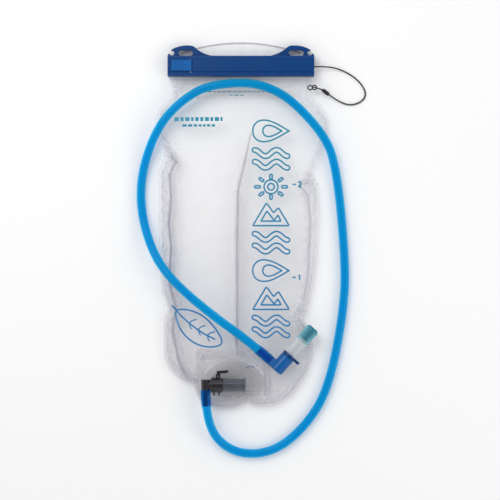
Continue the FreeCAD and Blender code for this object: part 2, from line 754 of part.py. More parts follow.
def poppet_spring():
    wire = 0.35
    start = poppet_back_x() + wire + FIT_PLAY
    length = SOCKET_X1 - CAP_PLUG - wire - FIT_PLAY - start
    return coil(on_port_axis(start), X_RIGHT, 3.2, wire, length, 3.5)


def port_collar():
    """The black collar over the socket's mouth, with a finned rim, two prongs and the lever's ears."""
    x0 = COLLAR_X0
    lap = SOCKET_X0 + COLLAR_LAP - x0
    step = SOCKET_X0 - x0
    inner = SOCKET_BORE_R + 0.25
    profile = [
        (inner, 0.0),
        (COLLAR_R - 0.8, 0.0),
        (COLLAR_R, 1.0),
        (COLLAR_R, 2.0),
        (COLLAR_FIN_R, 2.0),
        (COLLAR_FIN_R, 3.2),
        (COLLAR_R, 3.2),
        (COLLAR_R, lap),
        (SOCKET_R + FIT_PLAY, lap),
        (SOCKET_R + FIT_PLAY, step),
        (inner, step),
    ]
    body = turned(profile, on_port_axis(x0), X_RIGHT)
    ears = box(
        LEVER_X - 2.6,
        LEVER_X + 2.6,
        LEVER_Y - 3.4,
        LEVER_Y + 1.9,
        PORT_AXIS_Z - 3.8,
        PORT_AXIS_Z + 3.8,
    )
    gap = box(LEVER_X - 3, LEVER_X + 3, LEVER_Y - 1.6, LEVER_Y + 3, PORT_AXIS_Z - 1.9, PORT_AXIS_Z + 1.9)
    clear_bore = rod(on_port_axis(x0), X_RIGHT, SOCKET_R + FIT_PLAY, lap + 2)
    ears = ears.cut(gap).cut(clear_bore)
    body = body.fuse(ears)
    for x in (x0 + 3.4, x0 + 9.1):
        body = body.fuse(rod(FreeCAD.Vector(x, PORT_Y - COLLAR_R + 0.6, PORT_AXIS_Z), Y_AWAY * -1, 0.9, 3.6))
    hole = rod(FreeCAD.Vector(LEVER_X, LEVER_Y, PORT_AXIS_Z - 5), Z_UP, 0.9, 10)
    return body.cut(hole).removeSplitter()


def release_lever():
    """An L-shaped thumb lever: a short arm up from the pin and a tab along the socket."""
    z = PORT_AXIS_Z - 1.6
    outline = [
        (-1.5, -1.1),
        (1.5, -1.1),
        (1.8, 2.6),
        (11.0, 3.6),
        (11.4, 6.2),
        (9.6, 6.4),
        (-1.2, 5.6),
    ]
    points = [FreeCAD.Vector(LEVER_X + dx, LEVER_Y + dy, z) for dx, dy in outline]
    lever = slab(Part.makePolygon(points + points[:1]), 3.2)
    bore = rod(FreeCAD.Vector(LEVER_X, LEVER_Y, z - 1), Z_UP, 0.9 + RUNNING_PLAY, 6)
    return lever.cut(bore)


def lever_pin():
    return rod(FreeCAD.Vector(LEVER_X, LEVER_Y, PORT_AXIS_Z - 3.7), Z_UP, 0.9, 7.4)


def lever_spring():
    wire = 0.25
    foot = PORT_Y + SOCKET_RIB_R + wire + 0.1
    room = LEVER_Y + 2.9 - wire - 0.1 - foot
    return coil(FreeCAD.Vector(LEVER_X + 6.2, foot, PORT_AXIS_Z), Y_AWAY, 1.1, wire, room, 3)


def o_ring_places():
    return [NOSE_TIP_X - 3.2, NOSE_TIP_X - 6.4]


def hose_elbow():
    """The plug-in elbow: a round nose towards the socket and a barbed tail into the hose."""
    corner = FreeCAD.Vector(ELBOW_X, 0, PORT_AXIS_Z)
    block = rod(corner + Y_AWAY * ELBOW_FACE_Y, Y_AWAY, ELBOW_R, ELBOW_TOP_Y - ELBOW_FACE_Y)
    nose = rod(on_port_axis(ELBOW_X), X_RIGHT, NOSE_R, NOSE_TIP_X - ELBOW_X)
    shoulder = rod(on_port_axis(COLLAR_X0 - 1.9), X_RIGHT, SHOULDER_R, 1.7)
    groove = []
    for x in o_ring_places():
        outer = rod(on_port_axis(x - 0.55), X_RIGHT, NOSE_R + 1, 1.1)
        groove.append(outer.cut(rod(on_port_axis(x - 0.55), X_RIGHT, NOSE_R - 0.85, 1.1)))
    hose_room = rod(corner + Y_AWAY * ELBOW_FACE_Y, Y_AWAY * -1, HOSE_OD / 2 + HOSE_END_GAP, SHOULDER_R)
    shape = block.fuse([nose, shoulder]).cut(groove + [hose_room])
    step = BARB_LENGTH / 3
    profile = [(0, -2.0), (BARB_R - BARB_STEP, -2.0)]
    for i in range(3):
        profile += [
            (BARB_R - BARB_STEP, i * step + 0.8),
            (BARB_R, i * step + 1.6),
            (BARB_R - BARB_STEP, (i + 1) * step),
        ]
    profile += [(0, BARB_LENGTH)]
    tail = turned(profile, corner + Y_AWAY * ELBOW_FACE_Y, Y_AWAY * -1)
    shape = shape.fuse(tail)
    way_in = rod(on_port_axis(ELBOW_X), X_RIGHT, WATERWAY_R, NOSE_TIP_X - ELBOW_X + 1)
    way_out = rod(on_port_axis(ELBOW_X), Y_AWAY * -1, WATERWAY_R, 60)
    shape = shape.cut(way_in.fuse(way_out))
    bar = box(NOSE_TIP_X - 1.4, NOSE_TIP_X, PORT_Y - 3.0, PORT_Y + 3.0, PORT_AXIS_Z - 0.6, PORT_AXIS_Z + 0.6)
    probe = rod(on_port_axis(NOSE_TIP_X - 1.4), X_RIGHT, 0.9, 1.8)
    return shape.fuse([bar, probe]).removeSplitter()


def elbow_o_rings():
    major = NOSE_R - 0.85 + O_RING_R + 0.02
    rings = [ring(on_port_axis(x), X_RIGHT, major, O_RING_R) for x in o_ring_places()]
    return Part.makeCompound(rings)


def on_valve(s):
    return VALVE_CENTRE + VALVE_AXIS * s


def valve_housing():
    """The barrel with its closed end, the side spigot and the barb that holds the hose."""
    outside = [
        (0, -BARREL_HALF),
        (BARREL_R - 1.2, -BARREL_HALF),
        (BARREL_R, 1.2 - BARREL_HALF),
        (BARREL_R, BARREL_HALF - 0.6),
        (BARREL_R - 0.6, BARREL_HALF),
        (0, BARREL_HALF),
    ]
    back = HOSE_INTO_VALVE * -1
    barb_root = SPIGOT_REACH
    step = (BARB_LENGTH - 2) / 3
    spigot = [(0, 0), (SPIGOT_R, 0), (SPIGOT_R, barb_root), (BARB_R - BARB_STEP, barb_root)]
    for i in range(3):
        s = barb_root + i * step
        spigot += [(BARB_R - BARB_STEP, s + 0.8), (BARB_R, s + 1.6), (BARB_R - BARB_STEP, s + step)]
    spigot += [(0, barb_root + BARB_LENGTH - 2)]
    shape = turned(outside, VALVE_CENTRE, VALVE_AXIS).fuse(turned(spigot, SPIGOT_ROOT, back))
    bore = rod(on_valve(BARREL_FLOOR - BARREL_HALF), VALVE_AXIS, BARREL_BORE_R, 3 * BARREL_HALF)
    waterway = rod(SPIGOT_ROOT, back, WATERWAY_R, 60)
    return shape.cut([bore, waterway]).removeSplitter()


def rotor_groove_places():
    return [0.5, 5.5]


def shutoff_rotor():
    """The shut-off plug that turns in the barrel: cross port, axial way, collar and thumb wing."""
    low = BARREL_FLOOR - BARREL_HALF + 0.3
    collar = BARREL_HALF + 0.3
    top = STEM_START - 0.2
    profile = [(0, low), (ROTOR_R, low)]
    for s in rotor_groove_places():
        depth = ROTOR_R - 0.85
        profile += [(ROTOR_R, s - 0.55), (depth, s - 0.55), (depth, s + 0.55), (ROTOR_R, s + 0.55)]
    profile += [(ROTOR_R, collar), (BARREL_R, collar), (BARREL_R, top), (0, top)]
    shape = turned(profile, VALVE_CENTRE, VALVE_AXIS)
    wing = Part.makeBox(7.5, 2.6, top - collar)
    wing.translate(FreeCAD.Vector(BARREL_R - 1.0, -1.3, collar))
    wing.Placement = valve_frame().multiply(wing.Placement)
    shape = shape.fuse(wing)
    cross = rod(SPIGOT_ROOT, HOSE_INTO_VALVE * -1, WATERWAY_R, BARREL_R)
    way = rod(SPIGOT_ROOT, VALVE_AXIS, WATERWAY_R, 40)
    cup = rod(on_valve(STEM_START - STEM_TAIL - 0.2), VALVE_AXIS, STEM_TAIL_R + RUNNING_PLAY, 20)
    return shape.cut([cross, way, cup]).removeSplitter()


def valve_frame():
    """Local x along the hose's way into the valve, local z along the valve's axis."""
    across = VALVE_AXIS.cross(HOSE_INTO_VALVE)
    turn_to = FreeCAD.Rotation(HOSE_INTO_VALVE, across, VALVE_AXIS, "XYZ")
    return FreeCAD.Placement(VALVE_CENTRE, turn_to)


def rotor_o_rings():
    major = ROTOR_R - 0.85 + O_RING_R + 0.02
    return Part.makeCompound([ring(on_valve(s), VALVE_AXIS, major, O_RING_R) for s in rotor_groove_places()])


def mouth_stem():
    tail = STEM_START - STEM_TAIL
    profile = [
        (WATERWAY_R, tail),
        (STEM_TAIL_R, tail),
        (STEM_TAIL_R, STEM_START),
        (STEM_R, STEM_START),
        (STEM_R + 0.5, STEM_START + 6),
        (STEM_END_R - 0.3, STEM_END - 4),
        (STEM_END_R, STEM_END - 2),
        (STEM_END_R, STEM_END),
        (4.4, STEM_END),
        (4.4, STEM_END + 4),
        (WATERWAY_R, STEM_END + 4),
    ]
    return turned(profile, VALVE_CENTRE, VALVE_AXIS)


def mouth_insert():
    """The soft drinking tip: a widening cup closed by a slit membrane."""
    foot = STEM_END + 0.2
    profile = [
        (4.5, foot),
        (MOUTH_R - 1.3, foot),
        (MOUTH_R, MOUTH_END - 4),
        (MOUTH_R - 0.5, MOUTH_END - 1),
        (MOUTH_R - 2.2, MOUTH_END),
        (0, MOUTH_END),
        (0, MOUTH_END - 1.6),
        (4.5, MOUTH_END - 1.6),
    ]
    tip = turned(profile, VALVE_CENTRE, VALVE_AXIS)
    slit = Part.makeBox(7.0, 0.4, 4.0)
    slit.translate(FreeCAD.Vector(-3.5, -0.2, MOUTH_END - 2.5))
    slit.Placement = valve_frame().multiply(slit.Placement)
    return tip.cut(slit)


def bite_sleeve():
    start = STEM_END - 3.0
    end = MOUTH_END - 2.0
    inner_start = STEM_END_R + SLEEVE_PLAY
    inner_end = MOUTH_R + SLEEVE_PLAY
    profile = [
        (inner_start, start),
        (inner_start + SLEEVE_WALL, start),
        (inner_start + SLEEVE_WALL, STEM_END),
        (inner_end + SLEEVE_WALL, MOUTH_END - 5),
        (inner_end + SLEEVE_WALL, end),
        (inner_end, end),
        (inner_end, MOUTH_END - 5),
        (inner_start, STEM_END),
    ]
    return turned(profile, VALVE_CENTRE, VALVE_AXIS)


NODES = [
    film_front,
    film_back,
    hang_flap,
    zip_rail_front,
    zip_rail_back,
    slider_body,
    slider_latch,
    latch_pin,
    lanyard_cord,
    lanyard_knot,
    lanyard_bead,
    lanyard_loop,
    lanyard_clip,
    port_flange,
    port_socket,
    port_end_cap,
    port_poppet,
    poppet_spring,
    port_collar,
    release_lever,
    lever_pin,
    lever_spring,
    hose_elbow,
    elbow_o_rings,
    hose,
    valve_housing,
    shutoff_rotor,
    rotor_o_rings,
    mouth_stem,
    mouth_insert,
    bite_sleeve,
]

os.makedirs("parts", exist_ok=True)
for make in NODES:
    shape = make()
    shape.exportStep("parts/" + make.__name__ + ".step")
    volume = round(shape.Volume, 1)
    print(make.__name__, "solids", len(shape.Solids), "valid", shape.isValid(), "volume", volume)
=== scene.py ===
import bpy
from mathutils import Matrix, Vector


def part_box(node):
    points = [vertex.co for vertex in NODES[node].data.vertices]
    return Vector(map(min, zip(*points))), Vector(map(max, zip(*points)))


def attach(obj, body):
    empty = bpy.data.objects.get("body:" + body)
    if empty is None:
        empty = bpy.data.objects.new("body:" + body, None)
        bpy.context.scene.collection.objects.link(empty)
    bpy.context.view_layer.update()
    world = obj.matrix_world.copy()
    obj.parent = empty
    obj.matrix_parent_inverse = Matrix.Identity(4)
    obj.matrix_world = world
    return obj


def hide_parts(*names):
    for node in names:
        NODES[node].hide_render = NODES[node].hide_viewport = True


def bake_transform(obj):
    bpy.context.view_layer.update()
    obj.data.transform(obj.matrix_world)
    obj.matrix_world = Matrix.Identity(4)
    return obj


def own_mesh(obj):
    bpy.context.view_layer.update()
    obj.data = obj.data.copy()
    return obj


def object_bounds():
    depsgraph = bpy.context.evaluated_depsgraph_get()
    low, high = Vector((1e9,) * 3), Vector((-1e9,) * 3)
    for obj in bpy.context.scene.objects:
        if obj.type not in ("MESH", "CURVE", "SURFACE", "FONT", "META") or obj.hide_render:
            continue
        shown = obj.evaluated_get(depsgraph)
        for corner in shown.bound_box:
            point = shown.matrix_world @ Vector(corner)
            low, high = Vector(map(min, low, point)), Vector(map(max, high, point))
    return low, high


bl_info = {
    "name": "Hydration bladder",
    "version": (1, 0, 0),
    "blender": (4, 5, 0),
    "location": "View3D > Sidebar > Bladder",
    "description": "Film bag, drinking hose, closure, outlet port and bite valve around the packed model",
    "category": "Object",
}

import math
import bpy
import numpy as np
from mathutils import Vector
from mathutils.bvhtree import BVHTree

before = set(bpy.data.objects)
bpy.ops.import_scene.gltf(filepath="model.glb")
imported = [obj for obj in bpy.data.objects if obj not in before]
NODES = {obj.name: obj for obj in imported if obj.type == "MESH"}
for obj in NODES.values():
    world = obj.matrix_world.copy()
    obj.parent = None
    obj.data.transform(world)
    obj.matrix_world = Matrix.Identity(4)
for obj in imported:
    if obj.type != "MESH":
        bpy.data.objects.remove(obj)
CAD_BOX = [list(corner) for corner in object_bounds()]
MM = 0.001


def node_box(name):
    """Lowest and highest corner of a CAD node, in millimetres."""
    low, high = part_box(name)
    return np.array(low) / MM, np.array(high) / MM


FILM_LOW, FILM_HIGH = node_box("film_front")
SLIDER_LOW, SLIDER_HIGH = node_box("slider_body")
FLANGE_LOW, FLANGE_HIGH = node_box("port_flange")
FLAP_LOW, FLAP_HIGH = node_box("hang_flap")
SEAM_Z = FILM_LOW[2]
HALF_WIDTH = FILM_HIGH[0]
BASE_Y = FILM_LOW[1]
NECK_TOP_Y = FILM_HIGH[1]

# The drinking hose's route from the elbow to the bite valve, in metres.
HOSE_ROUTE = [
    (-0.0406, -0.1797, 0.0184),
    (-0.0406, -0.2195, 0.0184),
    (-0.0118, -0.2515, 0.0049),
    (0.0320, -0.2515, 0.0049),
    (0.0688, -0.2224, 0.0049),
    (0.0956, -0.1784, 0.0049),
    (0.1126, -0.0864, 0.0049),
    (0.1126, -0.0300, 0.0049),
    (0.1040, 0.0595, 0.0052),
    (0.0904, 0.1005, 0.0146),
    (0.0341, 0.1560, 0.0146),
    (-0.0345, 0.1563, 0.0146),
    (-0.0706, 0.1348, 0.0146),
    (-0.0957, 0.1044, 0.0140),
    (-0.1124, 0.0565, 0.0049),
    (-0.1124, 0.0125, 0.0049),
    (-0.0972, -0.0341, 0.0155),
    (-0.0720, -0.0654, 0.0260),
    (-0.0310, -0.0995, 0.0265),
    (0.00637, -0.12610, 0.02397),
    (0.02971, -0.14711, 0.01786),
]

# The lanyard's route from the slider's end to its bead, in metres.
LANYARD_ROUTE = [
    (0.0760, 0.17496, 0.0065),
    (0.0930, 0.1760, 0.0056),
    (0.1125, 0.1715, 0.0009),
    (0.1305, 0.1590, 0.0009),
    (0.1380, 0.1430, 0.0009),
    (0.1250, 0.1330, 0.0009),
    (0.1080, 0.1350, 0.0012),
    (0.09183, 0.14682, 0.00618),
]

# The bladder's outline as shares of its half width and panel length, from the right shoulder round the base
# to the left shoulder. One point ends a straight stretch, and two are a point on a round lobe and its end.
OUTLINE = [
    [(0.894, 0.991)],
    [(1.000, 0.909), (0.894, 0.827)],
    [(0.801, 0.758)],
    [(0.866, 0.732)],
    [(0.886, 0.621), (0.832, 0.435)],
    [(0.759, 0.332)],
    [(0.680, 0.300)],
    [(0.728, 0.279)],
    [(0.805, 0.191), (0.645, 0.078)],
    [(0.416, 0.018), (0.098, 0.013)],
    [(0.049, 0.027)],
    [(0.000, 0.016)],
    [(-0.208, 0.000), (-0.416, 0.016)],
    [(-0.495, 0.033)],
    [(-0.540, 0.056)],
    [(-0.557, 0.087)],
    [(-0.800, 0.118), (-0.904, 0.203)],
    [(-0.910, 0.291)],
    [(-0.855, 0.331)],
    [(-0.936, 0.385)],
    [(-0.963, 0.568)],
    [(-0.963, 0.777)],
    [(-0.915, 0.803)],
    [(-0.893, 0.841)],
    [(-0.931, 0.867)],
    [(-1.000, 0.926), (-0.931, 0.985)],
]


def distance(name, description, default):
    """A size that a user may change, in metres."""
    return bpy.props.FloatProperty(
        name=name, description=description, default=default, subtype="DISTANCE", unit="LENGTH")


class StageSettings(bpy.types.PropertyGroup):
    view_width: distance("View width", "Width that the camera frames at the floor", 0.55)
    lens: bpy.props.FloatProperty(
        name="Lens", description="Focal length of the camera, in millimetres", default=100.0)
    floor_size: distance("Floor size", "Side of the square floor", 6.0)
    sky: bpy.props.FloatProperty(
        name="Room light", description="Strength of the even light from all round", default=0.82)
    ceiling: bpy.props.FloatProperty(
        name="Ceiling", description="Share of the room light that comes from straight above", default=0.2)
    key: bpy.props.FloatProperty(
        name="Key light", description="Power of the large soft lamp, in watts", default=8.5)


class HoseSettings(bpy.types.PropertyGroup):
    diameter: distance("Outer diameter", "Outside of the hose", 0.0095)
    bore: distance("Bore", "Inside of the hose", 0.0064)
    length: distance("Length", "Whole length of the drinking hose", 1.04)
    tail: distance("Tail", "Length beside the elbow that bends as the elbow is pulled out", 0.115)
    swell: distance("Swell", "How much the hose grows over a barb, in its radius", 0.0007)


class LanyardSettings(bpy.types.PropertyGroup):
    diameter: distance("Diameter", "Thickness of the lanyard's cord", 0.0016)
    length: distance("Length", "Length of the single cord from slider to bead", 0.127)


class FilmSettings(bpy.types.PropertyGroup):
    panel: distance("Panel length", "From the base to the shoulders", 0.340)
    crown: distance("Crown", "How far the front film rises over the seam", 0.0105)


class PrintSettings(bpy.types.PropertyGroup):
    stroke: distance("Stroke", "Width of a printed line", 0.0017)


# ---------------------------------------------------------------------------------------------- numbers

def smoothstep(low, high, value):
    """0 below low, 1 above high, and 3t^2 - 2t^3 of the share between."""
    t = np.clip((value - low) / (high - low), 0.0, 1.0)
    return t * t * (3.0 - 2.0 * t)


def bell(away, width):
    """exp(-(away / width)^2)."""
    return np.exp(-(away / width) ** 2)


def unit(vectors):
    """Each vector divided by its length."""
    return vectors / np.linalg.norm(vectors, axis=-1, keepdims=True)


def nearest_on(points, line):
    """Each point's distance from a polyline, the least over its segments in the plane, and how far along the
    line the nearest place is."""
    best = np.full(len(points), np.inf)
    along = np.zeros(len(points))
    passed = 0.0
    for a, b in zip(line[:-1], line[1:]):
        run = b - a
        long = max(np.linalg.norm(run), 1e-9)
        share = np.clip(((points - a) @ run) / long ** 2, 0.0, 1.0)
        away = np.linalg.norm(points - a - share[:, None] * run, axis=1)
        closer = away < best
        best[closer] = away[closer]
        along[closer] = passed + share[closer] * long
        passed += long
    return best, along


def distance_to(points, line):
    """Each point's distance from a polyline in the plane."""
    return nearest_on(points, line)[0]


def ripple(x, y, seed, size):
    """Smooth unevenness: a sum of twelve sine waves of random direction, about size long, within -1 to 1."""
    chance = np.random.default_rng(seed)
    total = np.zeros_like(x)
    for _ in range(12):
        turn = chance.uniform(0, math.tau)
        wave = math.tau / (size * chance.uniform(0.7, 1.8))
        total += np.sin(wave * (x * math.cos(turn) + y * math.sin(turn)) + chance.uniform(0, math.tau))
    return total / 6.0


def resample(line, count, closed=False):
    """The line again with count points evenly spaced along its length."""
    if closed:
        line = np.vstack([line, line[:1]])
    steps = np.linalg.norm(np.diff(line, axis=0), axis=1)
    along = np.concatenate([[0.0], np.cumsum(steps)])
    at = np.linspace(0.0, along[-1], count, endpoint=not closed)
    return np.stack([np.interp(at, along, line[:, k]) for k in range(line.shape[1])], axis=1)


def round_off(line, times, closed):
    """Corners cut times over: each gives way to points a quarter and three quarters along its sides."""
    for _ in range(times):
        ahead = np.roll(line, -1, axis=0) if closed else line[1:]
        here = line if closed else line[:-1]
        pairs = np.stack([here * 0.75 + ahead * 0.25, here * 0.25 + ahead * 0.75], axis=1)
        cut = pairs.reshape(-1, line.shape[1])
        line = cut if closed else np.vstack([line[:1], cut, line[-1:]])
    return line


# ----------------------------------------------------------------------------------------------- meshes

def mesh_object(name, points, faces, uv=None, smooth=True):
    """An object from points in millimetres and faces, placed in its mesh."""
    mesh = bpy.data.meshes.new(name)
    mesh.from_pydata((np.asarray(points) * MM).tolist(), [], [list(face) for face in faces])
    if uv is not None:
        mesh.uv_layers.new(name="length").data.foreach_set("uv", uv.astype(np.float32).ravel())
    mesh.polygons.foreach_set("use_smooth", [smooth] * len(mesh.polygons))
    mesh.validate()
    mesh.update()
    made = bpy.data.objects.new(name, mesh)
    bpy.context.scene.collection.objects.link(made)
    return made


def mark(piece, name, values):
    """Keep a value at each of a piece's points, for its material to read."""
    kept = piece.data.attributes.new(name, "FLOAT", "POINT")
    kept.data.foreach_set("value", values.astype(np.float32).ravel())


def grid_faces(rows, columns, close_rows=False, close_columns=False):
    """Quads of a grid whose point (i, j) is number i * columns + j, and each corner's share of the way
    along and round."""
    i, j = np.meshgrid(
        np.arange(rows if close_rows else rows - 1),
        np.arange(columns if close_columns else columns - 1),
        indexing="ij",
    )
    i, j = i.ravel(), j.ravel()
    corners = [(i, j), (i, j + 1), (i + 1, j + 1), (i + 1, j)]
    faces = np.stack([(a % rows) * columns + (b % columns) for a, b in corners], axis=1)
    shares = np.stack([np.stack([b / columns, a / rows], axis=1) for a, b in corners], axis=1)
    return faces, shares


def rings_along(path, radius, sides):
    """Rings of points round a path: at each point, radius times the cosine and sine of the way round, along
    the level sideways direction and the one square to it."""
    ahead = unit(np.gradient(path, axis=0))
    side = unit(np.cross(ahead, [0.0, 0.0, 1.0]))
    over = np.cross(side, ahead)
    turn = np.linspace(0.0, math.tau, sides, endpoint=False)
    radius = np.broadcast_to(radius, len(path))[:, None, None]
    spread = side[:, None] * np.cos(turn)[None, :, None] + over[:, None] * np.sin(turn)[None, :, None]
    return path[:, None] + radius * spread


def hollow_tube(name, path, outer, inner, sides):
    """A tube with a bore: rings of the outer radius out along the path and of the inner radius back."""
    out = rings_along(path, outer, sides)
    back = rings_along(path, inner, sides)[::-1]
    rings = np.concatenate([out, back])
    faces, shares = grid_faces(len(rings), sides, True, True)
    return mesh_object(name, rings.reshape(-1, 3), faces, shares), len(path)


def solid_tube(name, path, radius, sides):
    """A cord: rings along the path, closed at both ends."""
    return capped(name, rings_along(path, radius, sides), path)


def coil(name, low, high, axis, turns, wire):
    """A spring that fills the box from low to high along its axis. Its wire's centre is at the coil's radius
    times the cosine and sine of its turn, and climbs evenly, and its section lies between the outward
    direction and the one square to that and to the wire."""
    across = [(axis + 1) % 3, (axis + 2) % 3]
    turn = np.linspace(0.0, math.tau * turns, int(turns * 48))
    outward = np.zeros((len(turn), 3))
    outward[:, across[0]], outward[:, across[1]] = np.cos(turn), np.sin(turn)
    path = (low + high) / 2 + ((high - low)[across].max() / 2 - wire) * outward
    path[:, axis] = np.linspace(low[axis] + wire, high[axis] - wire, len(turn))
    ahead = unit(np.gradient(path, axis=0))
    square = np.cross(outward, ahead)
    way = np.linspace(0.0, math.tau, 10, endpoint=False)[None, :, None]
    rings = path[:, None] + wire * (outward[:, None] * np.cos(way) + square[:, None] * np.sin(way))
    return capped(name, rings, path)


def capped(name, rings, path):
    """A skin over rings of points, closed with a fan to the path's point at each end."""
    sides = rings.shape[1]
    faces, shares = grid_faces(len(rings), sides, False, True)
    points = np.concatenate([rings.reshape(-1, 3), path[:1], path[-1:]])
    j = np.arange(sides)
    last = (len(rings) - 1) * sides
    first_fan = np.stack([np.full(sides, len(points) - 2), (j + 1) % sides, j], axis=1)
    last_fan = np.stack([np.full(sides, len(points) - 1), last + j, last + (j + 1) % sides], axis=1)
    uv = np.concatenate([shares.reshape(-1, 2), np.zeros((6 * sides, 2))])
    return mesh_object(name, points, [*faces.tolist(), *first_fan.tolist(), *last_fan.tolist()], uv)


def spline_points(name, route, resolution):
    """Points of the smooth spline whose control points are the route, in millimetres."""
    curve = bpy.data.curves.new(name, "CURVE")
    curve.dimensions = "3D"
    curve.resolution_u = resolution
    spline = curve.splines.new("NURBS")
    spline.points.add(len(route) - 1)
    spline.points.foreach_set("co", np.column_stack([route, np.ones(len(route))]).ravel())
    spline.order_u = 3
    spline.use_endpoint_u = True
    spline.resolution_u = resolution
    drawn = bpy.data.objects.new(name, curve)
    mesh = bpy.data.meshes.new_from_object(drawn)
    points = np.zeros(len(mesh.vertices) * 3)
    mesh.vertices.foreach_get("co", points)
    bpy.data.meshes.remove(mesh)
    bpy.data.curves.remove(curve)
    return points.reshape(-1, 3) / MM


# -------------------------------------------------------------------------------------------- materials

def linear(code):
    """An sRGB hex colour as a linear colour with alpha."""
    parts = [int(code[i:i + 2], 16) / 255 for i in (1, 3, 5)]
    return (*[c / 12.92 if c <= 0.04045 else ((c + 0.055) / 1.055) ** 2.4 for c in parts], 1.0)


def add_node(tree, kind, inputs=(), **settings):
    """Add a node with its settings. Inputs are pairs of a socket and a value, or another node's output."""
    made = tree.nodes.new(kind)
    for key, value in settings.items():
        setattr(made, key, value)
    for socket, value in inputs:
        if isinstance(value, bpy.types.NodeSocket):
            tree.links.new(value, made.inputs[socket])
        else:
            made.inputs[socket].default_value = value
    return made


def new_material(name):
    made = bpy.data.materials.new(name)
    made.use_nodes = True
    made.node_tree.nodes.clear()
    return made, made.node_tree


def close_material(tree, shader):
    add_node(tree, "ShaderNodeOutputMaterial", [("Surface", shader.outputs[0])])


def blend_colours(tree, share, first, second):
    """A colour that goes from first to second as share goes from 0 to 1."""
    ramp = add_node(tree, "ShaderNodeValToRGB", [("Fac", share)])
    ramp.color_ramp.elements[0].color = linear(first)
    ramp.color_ramp.elements[1].color = linear(second)
    return ramp.outputs["Color"]


def moulded(name, pale, deep, roughness, grain, opacity=1.0, edge=0.25, depth=0.03, shine=0.5):
    """An injection-moulded part. The pigment drifts between two near shades over about 12 mm, flow haze
    changes the gloss, a fine mould grain of the given size in millimetres breaks up the highlights, and
    edges are rounded off by edge millimetres. A clear part, of low opacity, is denser where the eye looks
    along its wall."""
    made, tree = new_material(name)
    place = add_node(tree, "ShaderNodeTexCoord").outputs["Object"]
    drift = add_node(tree, "ShaderNodeTexNoise", [("Vector", place), ("Scale", 1 / 0.012), ("Detail", 3.0)])
    grains = add_node(tree, "ShaderNodeTexNoise", [
        ("Vector", place), ("Scale", 1 / (grain * MM)), ("Detail", 2.0)])
    gloss = add_node(tree, "ShaderNodeMapRange", [
        ("Value", drift.outputs["Fac"]), ("From Min", 0.3), ("From Max", 0.7),
        ("To Min", roughness * 0.9), ("To Max", roughness * 1.15)])
    rounded = add_node(tree, "ShaderNodeBevel", [("Radius", edge * MM)], samples=4)
    bump = add_node(tree, "ShaderNodeBump", [
        ("Height", grains.outputs["Fac"]), ("Strength", 0.35), ("Distance", depth * MM),
        ("Normal", rounded.outputs["Normal"])])
    slanted = add_node(tree, "ShaderNodeLayerWeight", [
        ("Blend", 0.5), ("Normal", rounded.outputs["Normal"])])
    thick = add_node(tree, "ShaderNodeMapRange", [
        ("Value", slanted.outputs["Facing"]), ("From Min", 0.03), ("From Max", 0.5),
        ("To Min", opacity), ("To Max", min(opacity + 0.45, 1.0))])
    shader = add_node(tree, "ShaderNodeBsdfPrincipled", [
        ("Base Color", blend_colours(tree, drift.outputs["Fac"], pale, deep)),
        ("Roughness", gloss.outputs["Result"]), ("Normal", bump.outputs["Normal"]),
        ("Alpha", thick.outputs["Result"]), ("IOR", 1.5), ("Specular IOR Level", shine)])
    close_material(tree, shader)
    return made


def film_material():
    """Clear thermoplastic polyurethane film, blown and heat-sealed. It is almost invisible where it is flat,
    and glossy with faint draw lines. The attribute haze makes it greyer and more opaque. Part of it is how
    much film the eye looks through where the film is welded or folded. Part of it is painted light and shade:
    darker in its creases, folds, puckers and steep places, a painted highlight beside the left fold, and
    lighter under the port flange against the port's shadow."""
    made, tree = new_material("clear heat-sealed polyurethane film")
    haze = add_node(tree, "ShaderNodeAttribute", attribute_name="haze").outputs["Fac"]
    place = add_node(tree, "ShaderNodeTexCoord").outputs["Object"]
    drawn = add_node(tree, "ShaderNodeMapping", [
        ("Vector", place), ("Scale", (1 / 0.009, 1 / 0.045, 1 / 0.02))])
    streaks = add_node(tree, "ShaderNodeTexNoise", [
        ("Vector", drawn.outputs[0]), ("Scale", 1.0), ("Detail", 4.0)])
    milky = add_node(tree, "ShaderNodeMath", [(0, haze), (1, streaks.outputs["Fac"])], operation="MULTIPLY")
    opacity = add_node(tree, "ShaderNodeMapRange", [
        ("Value", haze), ("From Min", 0.0), ("From Max", 1.0), ("To Min", 0.02), ("To Max", 0.85)])
    varied = add_node(tree, "ShaderNodeMath", [(0, milky.outputs[0]), (1, 0.16), (2, opacity.outputs[0])],
                      operation="MULTIPLY_ADD", use_clamp=True)
    bump = add_node(tree, "ShaderNodeBump", [
        ("Height", streaks.outputs["Fac"]), ("Strength", 0.4), ("Distance", 0.4 * MM)])
    # Painted shade: the colour goes from pale grey to a deeper grey as haze rises, so creases, folds and steep
    # places come out darker.
    shader = add_node(tree, "ShaderNodeBsdfPrincipled", [
        ("Base Color", blend_colours(tree, haze, "#CFCDD4", "#A9A5B0")),
        ("Roughness", 0.16), ("IOR", 1.5), ("Alpha", varied.outputs[0]), ("Normal", bump.outputs["Normal"])])
    close_material(tree, shader)
    return made


def tinted(tree, body, tint, solidity):
    """Clear coloured plastic: a share solidity of the light meets its body, and the rest goes through and
    takes its tint."""
    through = add_node(tree, "ShaderNodeBsdfTransparent", [("Color", tint)])
    return add_node(tree, "ShaderNodeMixShader", [
        (0, solidity), (1, through.outputs[0]), (2, body.outputs[0])])


def clearing(tree, usual, tight):
    """A solidity that goes from usual to tight where the hose is stretched over a barb and wets it."""
    over_barb = add_node(tree, "ShaderNodeAttribute", attribute_name="over_barb").outputs["Fac"]
    return add_node(tree, "ShaderNodeMapRange", [
        ("Value", over_barb), ("To Min", usual), ("To Max", tight)]).outputs["Result"]


